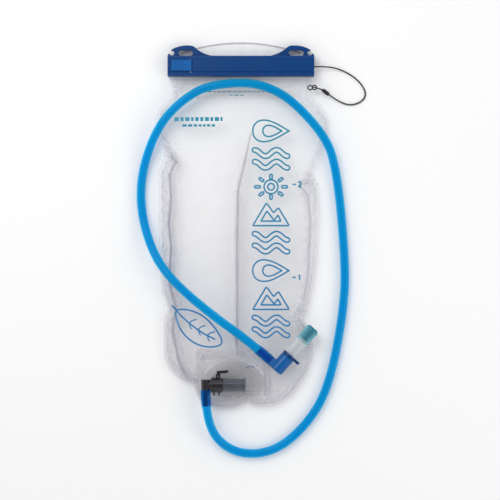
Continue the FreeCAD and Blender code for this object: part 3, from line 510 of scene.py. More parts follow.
def hose_wall_material():
    """Extruded polyurethane tube, tinted blue: a soft gloss, a clear wall that glows cyan at its edges and
    faint die lines along its length."""
    made, tree = new_material("extruded tinted polyurethane tube")
    place = add_node(tree, "ShaderNodeTexCoord")
    die = add_node(tree, "ShaderNodeMapping", [("Vector", place.outputs["UV"]), ("Scale", (40.0, 3.0, 1.0))])
    lines = add_node(tree, "ShaderNodeTexNoise", [
        ("Vector", die.outputs[0]), ("Scale", 1.0), ("Detail", 2.0)])
    cloud = add_node(tree, "ShaderNodeTexNoise", [
        ("Vector", place.outputs["Object"]), ("Scale", 1 / 0.045), ("Detail", 2.0)])
    over_barb = add_node(tree, "ShaderNodeAttribute", attribute_name="over_barb").outputs["Fac"]
    colour = add_node(tree, "ShaderNodeMixRGB", [
        ("Fac", over_barb), ("Color1", blend_colours(tree, cloud.outputs["Fac"], "#00D6F8", "#00BCEC")),
        ("Color2", linear("#0058B4"))])
    bump = add_node(tree, "ShaderNodeBump", [
        ("Height", lines.outputs["Fac"]), ("Strength", 0.25), ("Distance", 0.1 * MM)])
    shader = add_node(tree, "ShaderNodeBsdfPrincipled", [
        ("Base Color", colour.outputs["Color"]), ("Roughness", 0.22), ("IOR", 1.5),
        ("Specular IOR Level", 0.25), ("Normal", bump.outputs["Normal"])])
    close_material(tree, tinted(tree, shader, linear("#92E6FF"), clearing(tree, 0.34, 0.30)))
    return made


def hose_bore_material():
    """The tube's bore, seen through its wall: a deeper, duller blue with a little moisture haze."""
    made, tree = new_material("tube bore")
    place = add_node(tree, "ShaderNodeTexCoord").outputs["Object"]
    cloud = add_node(tree, "ShaderNodeTexNoise", [("Vector", place), ("Scale", 1 / 0.015), ("Detail", 4.0)])
    shader = add_node(tree, "ShaderNodeBsdfPrincipled", [
        ("Base Color", blend_colours(tree, cloud.outputs["Fac"], "#009AE2", "#007ED2")),
        ("Roughness", 0.45), ("IOR", 1.45), ("Specular IOR Level", 0.3)])
    close_material(tree, tinted(tree, shader, linear("#84D8FA"), clearing(tree, 0.55, 0.0)))
    return made


def braid_material():
    """Braided polyester cord, black: two families of strands cross at a slant, each about 0.5 mm wide,
    with a dull sheen on the crowns of the strands."""
    made, tree = new_material("braided polyester cord")
    place = add_node(tree, "ShaderNodeTexCoord").outputs["UV"]
    strands = []
    for slant in (1.0, -1.0):
        turned = add_node(tree, "ShaderNodeMapping", [
            ("Vector", place), ("Rotation", (0.0, 0.0, slant * math.radians(45))),
            ("Scale", (6.0, 180.0, 1.0))])
        wave = add_node(tree, "ShaderNodeTexWave", [("Vector", turned.outputs[0]), ("Scale", 0.3)])
        strands.append(wave.outputs["Fac"])
    woven = add_node(tree, "ShaderNodeMath", [(0, strands[0]), (1, strands[1])], operation="MAXIMUM")
    bump = add_node(tree, "ShaderNodeBump", [
        ("Height", woven.outputs[0]), ("Strength", 0.8), ("Distance", 0.2 * MM)])
    shader = add_node(tree, "ShaderNodeBsdfPrincipled", [
        ("Base Color", blend_colours(tree, woven.outputs[0], "#0C0C0E", "#2E2D31")),
        ("Roughness", 0.7), ("Sheen Weight", 0.3), ("Normal", bump.outputs["Normal"])])
    close_material(tree, shader)
    return made


def ink_material():
    """Screen-printed ink, teal above and bluer below, a little thin where the screen let less through."""
    made, tree = new_material("screen-printed ink")
    place = add_node(tree, "ShaderNodeTexCoord").outputs["Object"]
    split = add_node(tree, "ShaderNodeSeparateXYZ", [("Vector", place)])
    down = add_node(tree, "ShaderNodeMapRange", [
        ("Value", split.outputs["Y"]), ("From Min", 0.12), ("From Max", -0.12)])
    grain = add_node(tree, "ShaderNodeTexNoise", [("Vector", place), ("Scale", 1 / 0.0012), ("Detail", 2.0)])
    thin = add_node(tree, "ShaderNodeMapRange", [
        ("Value", grain.outputs["Fac"]), ("From Min", 0.3), ("From Max", 0.6),
        ("To Min", 0.9), ("To Max", 1.0)])
    shader = add_node(tree, "ShaderNodeBsdfPrincipled", [
        ("Base Color", blend_colours(tree, down.outputs["Result"], "#008AA6", "#0078B4")),
        ("Roughness", 0.4), ("Alpha", thin.outputs["Result"])])
    close_material(tree, shader)
    return made


def metal_material(name, colour, roughness):
    """Drawn steel wire and pins: bright, with fine drawing marks along their length."""
    made, tree = new_material(name)
    place = add_node(tree, "ShaderNodeTexCoord").outputs["Object"]
    marks = add_node(tree, "ShaderNodeTexNoise", [("Vector", place), ("Scale", 1 / 0.0006), ("Detail", 2.0)])
    gloss = add_node(tree, "ShaderNodeMapRange", [
        ("Value", marks.outputs["Fac"]), ("To Min", roughness * 0.7), ("To Max", roughness * 1.5)])
    shader = add_node(tree, "ShaderNodeBsdfPrincipled", [
        ("Base Color", linear(colour)), ("Metallic", 1.0), ("Roughness", gloss.outputs["Result"])])
    close_material(tree, shader)
    return made


def clothe(names, material):
    """Give CAD nodes a material in every slot."""
    for name in names:
        slots = NODES[name].data.materials
        slots.clear()
        slots.append(material)


# ------------------------------------------------------------------------------------------- the pieces

class BLADDER_OT_stage(bpy.types.Operator):
    """Camera straight above the bladder, pale floor, even room light and one large soft lamp"""
    bl_idname = "bladder.stage"
    bl_label = "Stage"

    def execute(self, context):
        setting = context.scene.bladder_stage
        low, high = np.array(CAD_BOX)
        camera = bpy.data.cameras.new("camera")
        camera.lens = setting.lens
        camera.clip_end = 50.0
        eye = bpy.data.objects.new("camera", camera)
        middle = (low + high) / 2
        aside = (-0.0017, -0.0003)
        above = setting.view_width * setting.lens / camera.sensor_width
        eye.location = (middle[0] + aside[0], middle[1] + aside[1], 0.01 + above)
        context.scene.collection.objects.link(eye)
        context.scene.camera = eye

        half = setting.floor_size / 2
        corners = np.array([(-half, -half, 0), (half, -half, 0), (half, half, 0), (-half, half, 0)]) / MM
        floor = mesh_object("floor", corners, [(0, 1, 2, 3)], smooth=False)
        made, tree = new_material("matt white studio board")
        place = add_node(tree, "ShaderNodeTexCoord").outputs["Object"]
        fibre = add_node(tree, "ShaderNodeTexNoise", [
            ("Vector", place), ("Scale", 1 / 0.004), ("Detail", 4.0)])
        shader = add_node(tree, "ShaderNodeBsdfPrincipled", [
            ("Base Color", blend_colours(tree, fibre.outputs["Fac"], "#FBFBFB", "#FFFFFF")),
            ("Roughness", 0.9), ("Specular IOR Level", 0.1)])
        close_material(tree, shader)
        floor.data.materials.append(made)

        world = bpy.data.worlds.new("room")
        context.scene.world = world
        world.use_nodes = True
        tree = world.node_tree
        tree.nodes.clear()
        way = add_node(tree, "ShaderNodeTexCoord").outputs["Generated"]
        up = add_node(tree, "ShaderNodeSeparateXYZ", [("Vector", way)]).outputs["Z"]
        ceiling = add_node(tree, "ShaderNodeMapRange", [
            ("Value", up), ("From Min", 0.80), ("From Max", 0.96), ("To Min", setting.sky),
            ("To Max", setting.sky * setting.ceiling)], interpolation_type="SMOOTHSTEP")
        lit = add_node(tree, "ShaderNodeBackground", [
            ("Color", (1.0, 1.0, 1.0, 1.0)), ("Strength", ceiling.outputs["Result"])])
        add_node(tree, "ShaderNodeOutputWorld", [("Surface", lit.outputs[0])])
        for name, place, power, size in (
            ("key lamp", (-0.55, 0.75, 1.25), setting.key, 0.9),
            ("strip lamp", (1.0, -0.35, 0.8), setting.key * 0.25, 0.6),
        ):
            lamp = bpy.data.lights.new(name, "AREA")
            lamp.energy = power
            lamp.size = size
            hung = bpy.data.objects.new(name, lamp)
            hung.location = place
            hung.rotation_euler = (-Vector(place)).to_track_quat("-Z", "Y").to_euler()
            context.scene.collection.objects.link(hung)
        context.scene.view_settings.view_transform = "Standard"
        return {"FINISHED"}


# How far the hose is pushed over each barb, and the points round it, in millimetres and in number.
BARB_REACH = 17.9
HOSE_SIDES = 40


class BLADDER_OT_hose(bpy.types.Operator):
    """The blue drinking hose from the elbow to the bite valve, swollen over both barbs"""
    bl_idname = "bladder.hose"
    bl_label = "Drinking hose"

    def execute(self, context):
        setting = context.scene.bladder_hose
        line = resample(spline_points("hose route", HOSE_ROUTE, 24), 901)
        along = np.concatenate([[0.0], np.cumsum(np.linalg.norm(np.diff(line, axis=0), axis=1))])
        from_end = np.minimum(along, along[-1] - along)
        swell = setting.swell / MM * (1.0 - smoothstep(BARB_REACH - 2.0, BARB_REACH + 3.5, from_end))
        lip = 0.25 * bell(from_end - 0.6, 0.8)
        outer = setting.diameter / 2 / MM + swell - lip
        inner = setting.bore / 2 / MM + swell + 0.1 * smoothstep(BARB_REACH, BARB_REACH - 4.0, from_end)
        on_barb = smoothstep(BARB_REACH + 0.4, BARB_REACH - 0.6, from_end)
        split = int(np.searchsorted(along, setting.tail / MM))
        wall, bore = hose_wall_material(), hose_bore_material()
        pieces = []
        for name, part in (("hose-tail", slice(0, split + 1)), ("hose-main", slice(split, None))):
            piece, rings = hollow_tube(name, line[part], outer[part], inner[part], HOSE_SIDES)
            piece.data.materials.append(wall)
            piece.data.materials.append(bore)
            here = np.concatenate([on_barb[part], on_barb[part][::-1]])
            mark(piece, "over_barb", np.repeat(here, HOSE_SIDES))
            inside = np.repeat(np.arange(2 * rings) >= rings, HOSE_SIDES)
            piece.data.polygons.foreach_set("material_index", inside.astype(np.int32))
            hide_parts("hose")
            pieces.append(piece)
        tail, main_run = pieces
        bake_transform(tail)
        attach(main_run, "root")
        return {"FINISHED"}


# The clip's ring at its wire's centre, and its wire, in millimetres.
CLIP_RING_R = 2.4
CLIP_WIRE_R = 0.7


class BLADDER_OT_lanyard(bpy.types.Operator):
    """The slider's lanyard: braided cord, stopper knot, bead, closed loop and clip rings"""
    bl_idname = "bladder.lanyard"
    bl_label = "Lanyard"

    def execute(self, context):
        setting = context.scene.bladder_lanyard
        radius = setting.diameter / 2 / MM
        line = resample(spline_points("lanyard route", LANYARD_ROUTE, 16), 220)
        braid = braid_material()
        cord = solid_tube("lanyard-cord", line, radius, 12)
        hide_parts("lanyard_cord")

        low, high = node_box("lanyard_loop")
        middle = (low + high) / 2
        clip_low, clip_high = node_box("lanyard_clip")
        bead_low, bead_high = node_box("lanyard_bead")
        bead = (bead_low + bead_high) / 2
        ring_x = clip_high[0] - CLIP_RING_R - CLIP_WIRE_R
        ring_y = (clip_low[1] + clip_high[1]) / 2
        ring_z = (clip_low[2] + clip_high[2]) / 2
        apart = radius + 0.95
        control = np.array([
            (bead[0], bead[1], bead[2] + 0.2),
            (bead[0] - 4.5, bead[1] + 2.6, bead[2] + 1.3),
            (ring_x + 4.2, ring_y - 1.2, ring_z + apart * 1.2),
            (ring_x + 0.4, ring_y, ring_z + apart * 1.1),
            (ring_x - 1.6, ring_y + 0.3, ring_z),
            (ring_x + 0.4, ring_y + 0.2, ring_z - apart * 0.8),
            (ring_x + 4.2, ring_y - 0.8, max(ring_z - apart * 0.5, middle[2] - 2.0)),
            (bead[0] - 4.0, bead[1] + 2.9, bead[2] + 0.4),
        ]) * MM
        bight = resample(spline_points("loop route", control, 12), 90)
        loop = solid_tube("lanyard-loop", bight, radius * 0.9, 12)
        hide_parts("lanyard_loop")

        turn = np.linspace(0.0, math.tau, 121)
        size = 0.42
        low, high = node_box("lanyard_knot")
        centre = (low + high) / 2
        trefoil = np.stack([
            np.sin(3 * turn) * 0.9,
            np.cos(turn) - 2 * np.cos(2 * turn),
            np.sin(turn) + 2 * np.sin(2 * turn),
        ], axis=1) * size + centre
        ahead = unit(np.roll(trefoil[:-1], -1, axis=0) - np.roll(trefoil[:-1], 1, axis=0))
        side = unit(np.cross(ahead, trefoil[:-1] - centre))
        over = np.cross(side, ahead)
        way = np.linspace(0.0, math.tau, 10, endpoint=False)
        rings = trefoil[:-1, None] + 0.55 * (
            side[:, None] * np.cos(way)[None, :, None] + over[:, None] * np.sin(way)[None, :, None])
        faces, shares = grid_faces(120, 10, True, True)
        knot = mesh_object("lanyard-knot", rings.reshape(-1, 3), faces, shares)
        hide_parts("lanyard_knot")

        for piece in (cord, loop, knot):
            piece.data.materials.append(braid)
            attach(piece, "slider")
        black = moulded("black acetal", "#141216", "#1D1A1F", 0.32, 0.35)
        clothe(["lanyard_bead", "lanyard_clip"], black)
        return {"FINISHED"}


# Where the films' neck ends left and right, the folds' lines in millimetres, and the seam's inward nicks, each
# with its place as in the outline and the way that its creases run, in degrees.
NECK_LEFT = node_box("zip_rail_front")[0][0] + 2.0
NECK_RIGHT = SLIDER_HIGH[0] - 3.5
CENTRE_FOLD = np.array([(9.0, 101.0), (1.5, 66.0), (-5.2, 39.0), (-6.3, -20.0), (-6.3, -143.0)])
LEFT_FOLD = np.array([
    (-84.0, 84.0), (-74.0, 70.0), (-80.5, 56.0), (-79.0, 30.0), (-81.5, 2.0), (-79.0, -25.0),
    (-81.0, -60.0), (-74.0, -90.0), (-77.0, -118.0), (-70.0, -150.0), (-60.0, -172.0)])
RIGHT_FOLD = np.array([
    (81.0, 52.0), (64.0, 44.0), (72.0, 33.0), (74.5, 5.0), (73.0, -30.0), (72.5, -60.0), (67.0, -88.0)])
NECK_FOLDS = [
    np.array([(-76.0, 153.0), (-66.0, 152.0), (-55.0, 147.0), (-49.0, 141.0)]),
    np.array([(-66.0, 158.0), (-40.0, 155.0), (-12.0, 152.5)]),
    np.array([(18.0, 154.0), (38.0, 151.5), (66.0, 155.5)]),
    np.array([(44.0, 150.0), (60.0, 143.0), (70.0, 131.0)]),
    np.array([(-74.0, 147.0), (-70.0, 137.0), (-76.0, 126.0)]),
]
PINCHES = [
    (0.801, 0.758, 200), (0.680, 0.300, 175), (0.049, 0.027, 88), (-0.540, 0.056, 50),
    (-0.855, 0.331, 10), (-0.893, 0.841, -25), (0.92, 0.99, 215), (-0.95, 0.99, -40),
]
# The films' grid: rows, columns and about the distance between its points, and half a film's thickness.
FILM_ROWS, FILM_COLUMNS = 330, 180
GRID_STEP = 1.1
HALF_FILM = 0.2
WELD_WIDTH = 4.5


def outline_points(panel):
    """The films' outline from the right end of the neck down round the base to the left end of the neck, in
    millimetres: straight stretches, and arcs through three points."""
    def place(share):
        return np.array([share[0] * HALF_WIDTH, BASE_Y + share[1] * panel])

    shoulder = BASE_Y + panel + 5.0
    left, right = NECK_LEFT, NECK_RIGHT
    line = [np.array([right, NECK_TOP_Y]), np.array([right, shoulder])]
    for stretch in OUTLINE:
        here = line[-1]
        ends = [place(share) for share in stretch]
        if len(ends) == 2:
            crown, end = ends
            across, chord = crown - here, end - here
            area = 2.0 * (across[0] * chord[1] - across[1] * chord[0])
            a2, c2 = across @ across, chord @ chord
            centre = here + np.array([chord[1] * a2 - across[1] * c2, across[0] * c2 - chord[0] * a2]) / area
            angles = [math.atan2(*(p - centre)[::-1]) for p in (here, crown, end)]
            sweep = (angles[2] - angles[0]) % math.tau
            if not (angles[1] - angles[0]) % math.tau < sweep:
                sweep -= math.tau
            turn = angles[0] + sweep * np.linspace(0.0, 1.0, 25)[1:]
            radius = np.linalg.norm(here - centre)
            line.extend(centre + radius * np.stack([np.cos(turn), np.sin(turn)], axis=1))
        else:
            line.extend(here + (ends[0] - here) * share for share in (0.34, 0.67, 1.0))
    line.extend([np.array([left, shoulder]), np.array([left, NECK_TOP_Y])])
    return np.array(line)


def gathers(points, panel):
    """Creases that fan out from each inward nick of the seam: five rays, each a groove that shallows inwards
    over about 26 mm."""
    depth = np.zeros(len(points))
    for k, (across, up, towards) in enumerate(PINCHES):
        chance = np.random.default_rng(40 + k)
        foot = np.array([across * HALF_WIDTH, BASE_Y + up * panel])
        for spread in (-58, -30, -3, 26, 55):
            turn = math.radians(towards + spread + chance.uniform(-8, 8))
            ahead = np.array([math.cos(turn), math.sin(turn)])
            reach = chance.uniform(18.0, 40.0)
            end = foot + ahead * reach + (0, chance.uniform(-4, 4))
            line = np.array([foot, foot + ahead * reach * 0.5, end])
            along = np.clip((points - foot) @ ahead / reach, 0.0, 1.0)
            depth += (1.0 - along) ** 1.4 * bell(distance_to(points, line), 1.9 + 2.2 * along)
    return depth


def coons(sides, rows, columns):
    """A grid inside four joined sides: the two straight blends between facing sides, less the blend of the
    four corners. Sides are base, right, top and left, base and top run left to right, the others upwards."""
    base, right, top, left = sides
    u = np.linspace(0.0, 1.0, columns)[None, :, None]
    v = np.linspace(0.0, 1.0, rows)[:, None, None]
    base, top = resample(base, columns)[None], resample(top, columns)[None]
    left, right = resample(left, rows)[:, None], resample(right, rows)[:, None]
    ruled = (1 - v) * base + v * top + (1 - u) * left + u * right
    below = (1 - u) * base[:, :1] + u * base[:, -1:]
    above = (1 - u) * top[:, :1] + u * top[:, -1:]
    return ruled - ((1 - v) * below + v * above)


def film_plan(panel, rows, columns):
    """Places of a film's grid in plan, and the outline itself."""
    line = resample(outline_points(panel), 1400)
    soft = np.exp(-np.linspace(-2, 2, 13) ** 2)
    soft /= soft.sum()
    for k in (0, 1):
        line[6:-6, k] = np.convolve(line[:, k], soft, "valid")
    low_right = int(np.argmin(np.linalg.norm(line - (0.78 * HALF_WIDTH, BASE_Y + 0.15 * panel), axis=1)))
    low_left = int(np.argmin(np.linalg.norm(line - (-0.87 * HALF_WIDTH, BASE_Y + 0.15 * panel), axis=1)))
    right = line[:low_right + 1][::-1]
    base = line[low_right:low_left + 1][::-1]
    left = line[low_left:]
    top = np.array([line[-1], line[0]])
    return coons((base, right, top, left), rows, columns), line


def front_rise(x, y, edge, crown):
    """How far the front film stands over the seam: a steep shoulder inside the weld, two long pillows either
    side of the centre fold, puckers that run in from the seam, and nothing at the neck or under the port."""
    points = np.stack([x, y], axis=1)
    rise = crown * (1.0 - np.exp(-np.maximum(edge - WELD_WIDTH, 0.0) / 13.0))
    centre = distance_to(points, CENTRE_FOLD)
    rise *= 1.0 - 0.42 * np.exp(-centre / 15.0) * smoothstep(130, 70, y)
    rise -= 1.2 * bell(centre, 2.2) * smoothstep(112, 60, y)
    for fold, depth in ((LEFT_FOLD, 2.4), (RIGHT_FOLD, 1.8)):
        away = distance_to(points, fold)
        rise -= depth * bell(away, 2.6) - 0.5 * depth * bell(away - 6.0, 3.0)
    rise += 0.55 * ripple(x, y, 3, 46.0) * smoothstep(6, 30, edge)
    rise += 0.28 * ripple(x, y, 5, 15.0) * bell(edge - 12.0, 12.0)
    return rise


def pucker(along, edge, seed):
    """Gathers beside the weld: waves along the seam of uneven length that die away inwards over 16 mm."""
    chance = np.random.default_rng(seed)
    wave = sum(
        np.sin(along * math.tau / length + chance.uniform(0, math.tau))
        for length in (13.0, 21.0, 34.0, 55.0))
    return 0.22 * wave * np.exp(-np.maximum(edge - 3.0, 0) / 9.0) * smoothstep(1.0, 5.0, edge)


def flange_arch(points):
    """Each point's height outside the port flange's contour, in millimetres: an ellipse over its springing
    line and a straight side under it."""
    middle = (FLANGE_LOW[0] + FLANGE_HIGH[0]) / 2
    half = (FLANGE_HIGH[0] - FLANGE_LOW[0]) / 2
    spring = FLANGE_LOW[1] + 0.52 * (FLANGE_HIGH[1] - FLANGE_LOW[1])
    across = np.abs(points[:, 0] - middle)
    over = np.maximum(points[:, 1] - spring, 0.0) * half / (FLANGE_HIGH[1] - spring)
    outside = np.hypot(across, over) - half
    return np.where(points[:, 1] < FLANGE_LOW[1], 99.0, outside)


def film_haze_and_shade(points, edge, along, height):
    """How milky and how shaded the front film looks, 0 to 1: a base that deepens downwards, painted shade on
    the steep and the sharply bent places of its relief, its folds with painted shade along and beside them and
    a painted highlight beside the left fold, the welded rim with the creases beside it in painted shade,
    darker rings round the port flange, and the film under the flange painted lighter against the port's
    shadow."""
    x, y = points.T
    down, across = np.gradient(height, GRID_STEP)
    slope = np.hypot(down, across).ravel()
    bend = np.abs(np.gradient(down, GRID_STEP)[0] + np.gradient(across, GRID_STEP)[1]).ravel()
    low = smoothstep(-30.0, -120.0, y)
    centre = distance_to(points, CENTRE_FOLD)
    # Darker towards the bottom, and painted shade where the relief is steep.
    haze = 0.03 + 0.12 * smoothstep(100.0, -150.0, y) + 0.20 * smoothstep(0.15, 0.9, slope)
    # Painted shade where the relief bends sharply, in its folds and puckers.
    haze += 0.34 * smoothstep(0.03, 0.30, bend) * smoothstep(NECK_TOP_Y, NECK_TOP_Y - 30, y)
    # The centre fold: a dark line, partly more film in the line of sight and partly painted shade, with a
    # broad painted shade beside it in the upper part.
    haze += 0.34 * bell(centre, 1.4) + 0.10 * bell(centre, 10.0) * smoothstep(115, 60, y)
    # Painted shade on the right side of the centre fold, in the upper part.
    haze += 0.10 * np.exp(-np.maximum(x + 5.0, 0) / 14.0) * (x > -6.0) * smoothstep(95, 40, y)
    left = distance_to(points, LEFT_FOLD) - 0.5 * ripple(x, y, 21, 14.0)
    # The left fold: a dark line, partly more film in the line of sight and partly painted shade, and 6 mm
    # beside it a lighter band that is a painted highlight.
    haze += 0.55 * bell(left, 2.0) - 0.07 * bell(left - 6.0, 3.0)
    # The right fold: a dark line, partly more film in the line of sight and partly painted shade.
    haze += 0.28 * bell(distance_to(points, RIGHT_FOLD) - 0.4 * ripple(x, y, 22, 18.0), 1.8)
    for fold in NECK_FOLDS:
        haze += 0.22 * bell(distance_to(points, fold), 1.3)
    uneven = 0.75 + 0.35 * ripple(along, 0 * along, 23, 60.0)
    # The welded rim and the creases beside it: the welded film itself and, in the creases at the foot of the
    # film's rise, painted shade that deepens towards the bottom.
    haze += (0.18 + 0.34 * low) * bell(edge - 3.4, 1.7) * uneven
    haze += 0.20 * bell(edge, 0.9) + (0.10 + 0.16 * low) * bell(edge - 9.0 - ripple(x, y, 24, 30.0), 1.3)
    haze -= 0.10 * bell(edge - 6.2, 1.0)
    arch = flange_arch(points)
    haze += 0.42 * bell(arch - 2.6, 0.7) + 0.30 * bell(arch + 4.2, 0.8) - 0.12 * bell(arch + 0.6, 2.2)
    # Painted light: the film under the port flange is made lighter to cancel the port's shadow on it.
    haze -= 0.16 * smoothstep(-3.0, -7.0, arch)
    return haze + 0.03 * ripple(x, y, 9, 20.0)


class BLADDER_OT_film(bpy.types.Operator):
    """The bladder's front and back film, welded round a lobed seam, and the tongue behind the closure"""
    bl_idname = "bladder.film"
    bl_label = "Film"

    def execute(self, context):
        setting = context.scene.bladder_film
        plan, line = film_plan(setting.panel / MM, FILM_ROWS, FILM_COLUMNS)
        flat = plan.reshape(-1, 2)
        x, y = flat.T
        edge, nearest = nearest_on(flat, line[::3])
        neck = smoothstep(NECK_TOP_Y - 16, NECK_TOP_Y - 52, y)
        under_port = (
            smoothstep(10.0, 0.0, FLANGE_LOW[0] - x) * smoothstep(10.0, 0.0, x - FLANGE_HIGH[0])
            * smoothstep(9.0, 0.0, FLANGE_LOW[1] - y) * smoothstep(14.0, 0.0, y - FLANGE_HIGH[1]))
        rise = front_rise(x, y, edge, setting.crown / MM) + pucker(nearest, edge, 11)
        rise -= 1.3 * gathers(flat, setting.panel / MM) * smoothstep(1.0, 7.0, edge)
        rise = rise * neck * (1.0 - under_port)
        front = SEAM_Z + HALF_FILM + np.maximum(rise, 0.0)
        fall = (SEAM_Z - 0.35) * (1.0 - np.exp(-np.maximum(edge - WELD_WIDTH, 0.0) / 7.0)) * neck
        fall += (0.35 * ripple(x, y, 8, 24.0) + pucker(nearest, edge, 12)) * neck * bell(edge - 10, 9)
        back = np.maximum(SEAM_Z - HALF_FILM - np.maximum(fall, 0.0), 0.25)
        haze = film_haze_and_shade(flat, edge, nearest, front.reshape(FILM_ROWS, FILM_COLUMNS))
        # The back film: darker towards the bottom, and a dark line at the foot of its fall beside the weld,
        # partly the weld's film and partly painted shade.
        back_haze_and_shade = 0.04 + 0.10 * smoothstep(60.0, -190.0, y) + 0.22 * bell(edge - 5.5, 1.4)

        film = film_material()
        faces, shares = grid_faces(FILM_ROWS, FILM_COLUMNS)
        for name, height, haze_and_shade_here, turn_over, node in (
            ("film-front", front, haze, False, "film_front"),
            ("film-back", back, back_haze_and_shade, True, "film_back"),
        ):
            these = faces[:, ::-1] if turn_over else faces
            sheet = mesh_object(name, np.column_stack([x, y, height]), these, shares)
            mark(sheet, "haze", np.clip(haze_and_shade_here, 0.0, 1.0))
            sheet.data.materials.append(film)
            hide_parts(node)
            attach(sheet, "root")
        self.tongue(film)
        return {"FINISHED"}

    def tongue(self, film):
        """The tongue: flat on the ground behind the slider, its far edge a parabola, climbing to the neck."""
        rows, columns = 60, 90
        u = np.linspace(-1.0, 1.0, columns)[None, :]
        v = np.linspace(0.0, 1.0, rows)[:, None]
        half = (FLAP_HIGH[0] - FLAP_LOW[0]) / 2
        x = (FLAP_LOW[0] + FLAP_HIGH[0]) / 2 + half * u + 0 * v
        shoulder = FLAP_HIGH[1] - 11.0
        arch = shoulder + (FLAP_HIGH[1] - shoulder - 0.1) * (1.0 - u ** 2)
        y = FLAP_LOW[1] + (arch - FLAP_LOW[1]) * v
        drop = smoothstep(FLAP_LOW[1] + 5.0, FLAP_LOW[1] + 20.5, y)
        z = (FLAP_HIGH[2] - 0.2) * (1.0 - drop) + 0.32 * drop
        z = np.maximum(z + 0.12 * ripple(x, y, 31, 22.0) * drop, 0.25)
        haze = 0.04 + 0.80 * bell((arch - y) * 0.97 - 0.6, 1.0) + 0.03 * ripple(x, y, 33, 12.0)
        faces, shares = grid_faces(rows, columns)
        piece = mesh_object("film-tongue", np.stack([x, y, z], axis=-1).reshape(-1, 3), faces, shares)
        mark(piece, "haze", np.clip(haze, 0.0, 1.0))
        piece.data.materials.append(film)
        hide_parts("hang_flap")
        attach(piece, "root")


def drop_line(cx, cy, long, wide):
    """A water drop lying on its side: long times the cosine, and wide times the sine with its half-angle
    sine to the power 1.3, so that one end is a point."""
    turn = np.linspace(0.0, math.tau, 90, endpoint=False)
    up = wide * 0.65 * np.sin(turn) * np.sin(turn / 2) ** 1.3
    return np.stack([cx + long / 2 * np.cos(turn), cy + up], axis=1)


def band_line(path, half_width):
    """The closed outline of a band of even width round an open path, with round ends."""
    path = resample(round_off(np.array(path, float), 4, False), 70)
    ahead = unit(np.gradient(path, axis=0))
    side = np.stack([-ahead[:, 1], ahead[:, 0]], axis=1)
    turn = np.linspace(0.0, math.pi, 16)[1:-1, None]
    start = path[0] - half_width * (ahead[0] * np.sin(turn) + side[0] * np.cos(turn))
    end = path[-1] + half_width * (ahead[-1] * np.sin(turn) + side[-1] * np.cos(turn))
    return np.vstack([path + half_width * side, end, (path - half_width * side)[::-1], start])


def stroke(line, width, closed):
    """A printed line as a thin closed ribbon: four rails along it, offset sideways by half the width and
    upwards by the ink's thickness. Returns plan points with their lift, and faces."""
    ahead = np.roll(line, -1, axis=0) - np.roll(line, 1, axis=0) if closed else np.gradient(line, axis=0)
    ahead /= np.maximum(np.linalg.norm(ahead, axis=1, keepdims=True), 1e-9)
    side = np.stack([-ahead[:, 1], ahead[:, 0]], axis=1) * width / 2
    rails = np.stack([
        np.column_stack([line + sign * side, np.full(len(line), lift)])
        for sign, lift in ((-1, 0.03), (-1, 0.14), (1, 0.14), (1, 0.03))
    ], axis=1)
    faces, _ = grid_faces(len(line), 4, closed, True)
    faces = faces[:, ::-1].tolist()
    if not closed:
        last = 4 * (len(line) - 1)
        faces += [[0, 1, 2, 3], [last + 3, last + 2, last + 1, last]]
    return rails.reshape(-1, 3), faces


NUMERALS = {
    1: [(-1.6, 2.2), (0.0, 3.6), (0.0, -3.6)],
    2: [(-1.9, 2.0), (-1.4, 3.6), (1.4, 3.6), (1.9, 1.6), (1.2, 0.0), (-1.9, -3.6), (2.1, -3.6)],
}


def motif(kind, x, y):
    """The outlines of one printed figure about 40 mm wide and 26 mm high: water, a drop, hills or the sun."""
    if kind == "water":
        along = np.linspace(-1.0, 1.0, 61)
        bands = []
        for lift in (-6.4, 6.4):
            path = np.stack([x + 18.0 * along, y + lift + 3.4 * np.sin(1.5 * math.pi * along)], axis=1)
            bands.append((band_line(path, 2.5), True))
        return bands
    if kind == "drop":
        return [(drop_line(x + 3.0 - 3.0 * grow, y, 40.0 * grow, 25.0 * grow), True) for grow in (1.0, 0.52)]
    if kind == "hill":
        outer = np.array([(-20.0, -12.0), (-5.0, 13.0), (3.0, 2.0), (8.0, 8.0), (20.0, -12.0)])
        inner = np.array([(-11.0, -7.0), (-4.6, 4.0), (3.4, -6.0), (7.6, -0.5), (11.0, -7.0)])
        return [
            (round_off(resample(shape + (x, y), 40, True), 2, True), True)
            for shape in (outer, inner)
        ]
    turn = np.linspace(0.0, math.tau, 72, endpoint=False)
    figure = [
        (np.stack([x + size * np.cos(turn), y + size * np.sin(turn)], axis=1), True)
        for size in (7.6, 3.6)
    ]
    for angle in np.arange(8) * math.tau / 8:
        out = np.array([math.cos(angle) * 1.35, math.sin(angle)])
        figure.append((band_line(np.array([(x, y) + out * 9.6, (x, y) + out * 12.4]), 1.3), True))
    return figure


def dashes(y, start, end, thick, seed):
    """A row of short printed bars of uneven length in place of small print."""
    chance = np.random.default_rng(seed)
    row = []
    while start < end - 2.0:
        stop = min(start + chance.uniform(2.6, 5.0), end)
        row.append((np.stack([np.linspace(start, stop, 4), np.full(4, y)], axis=1), False, thick))
        start = stop + 1.6
    return row


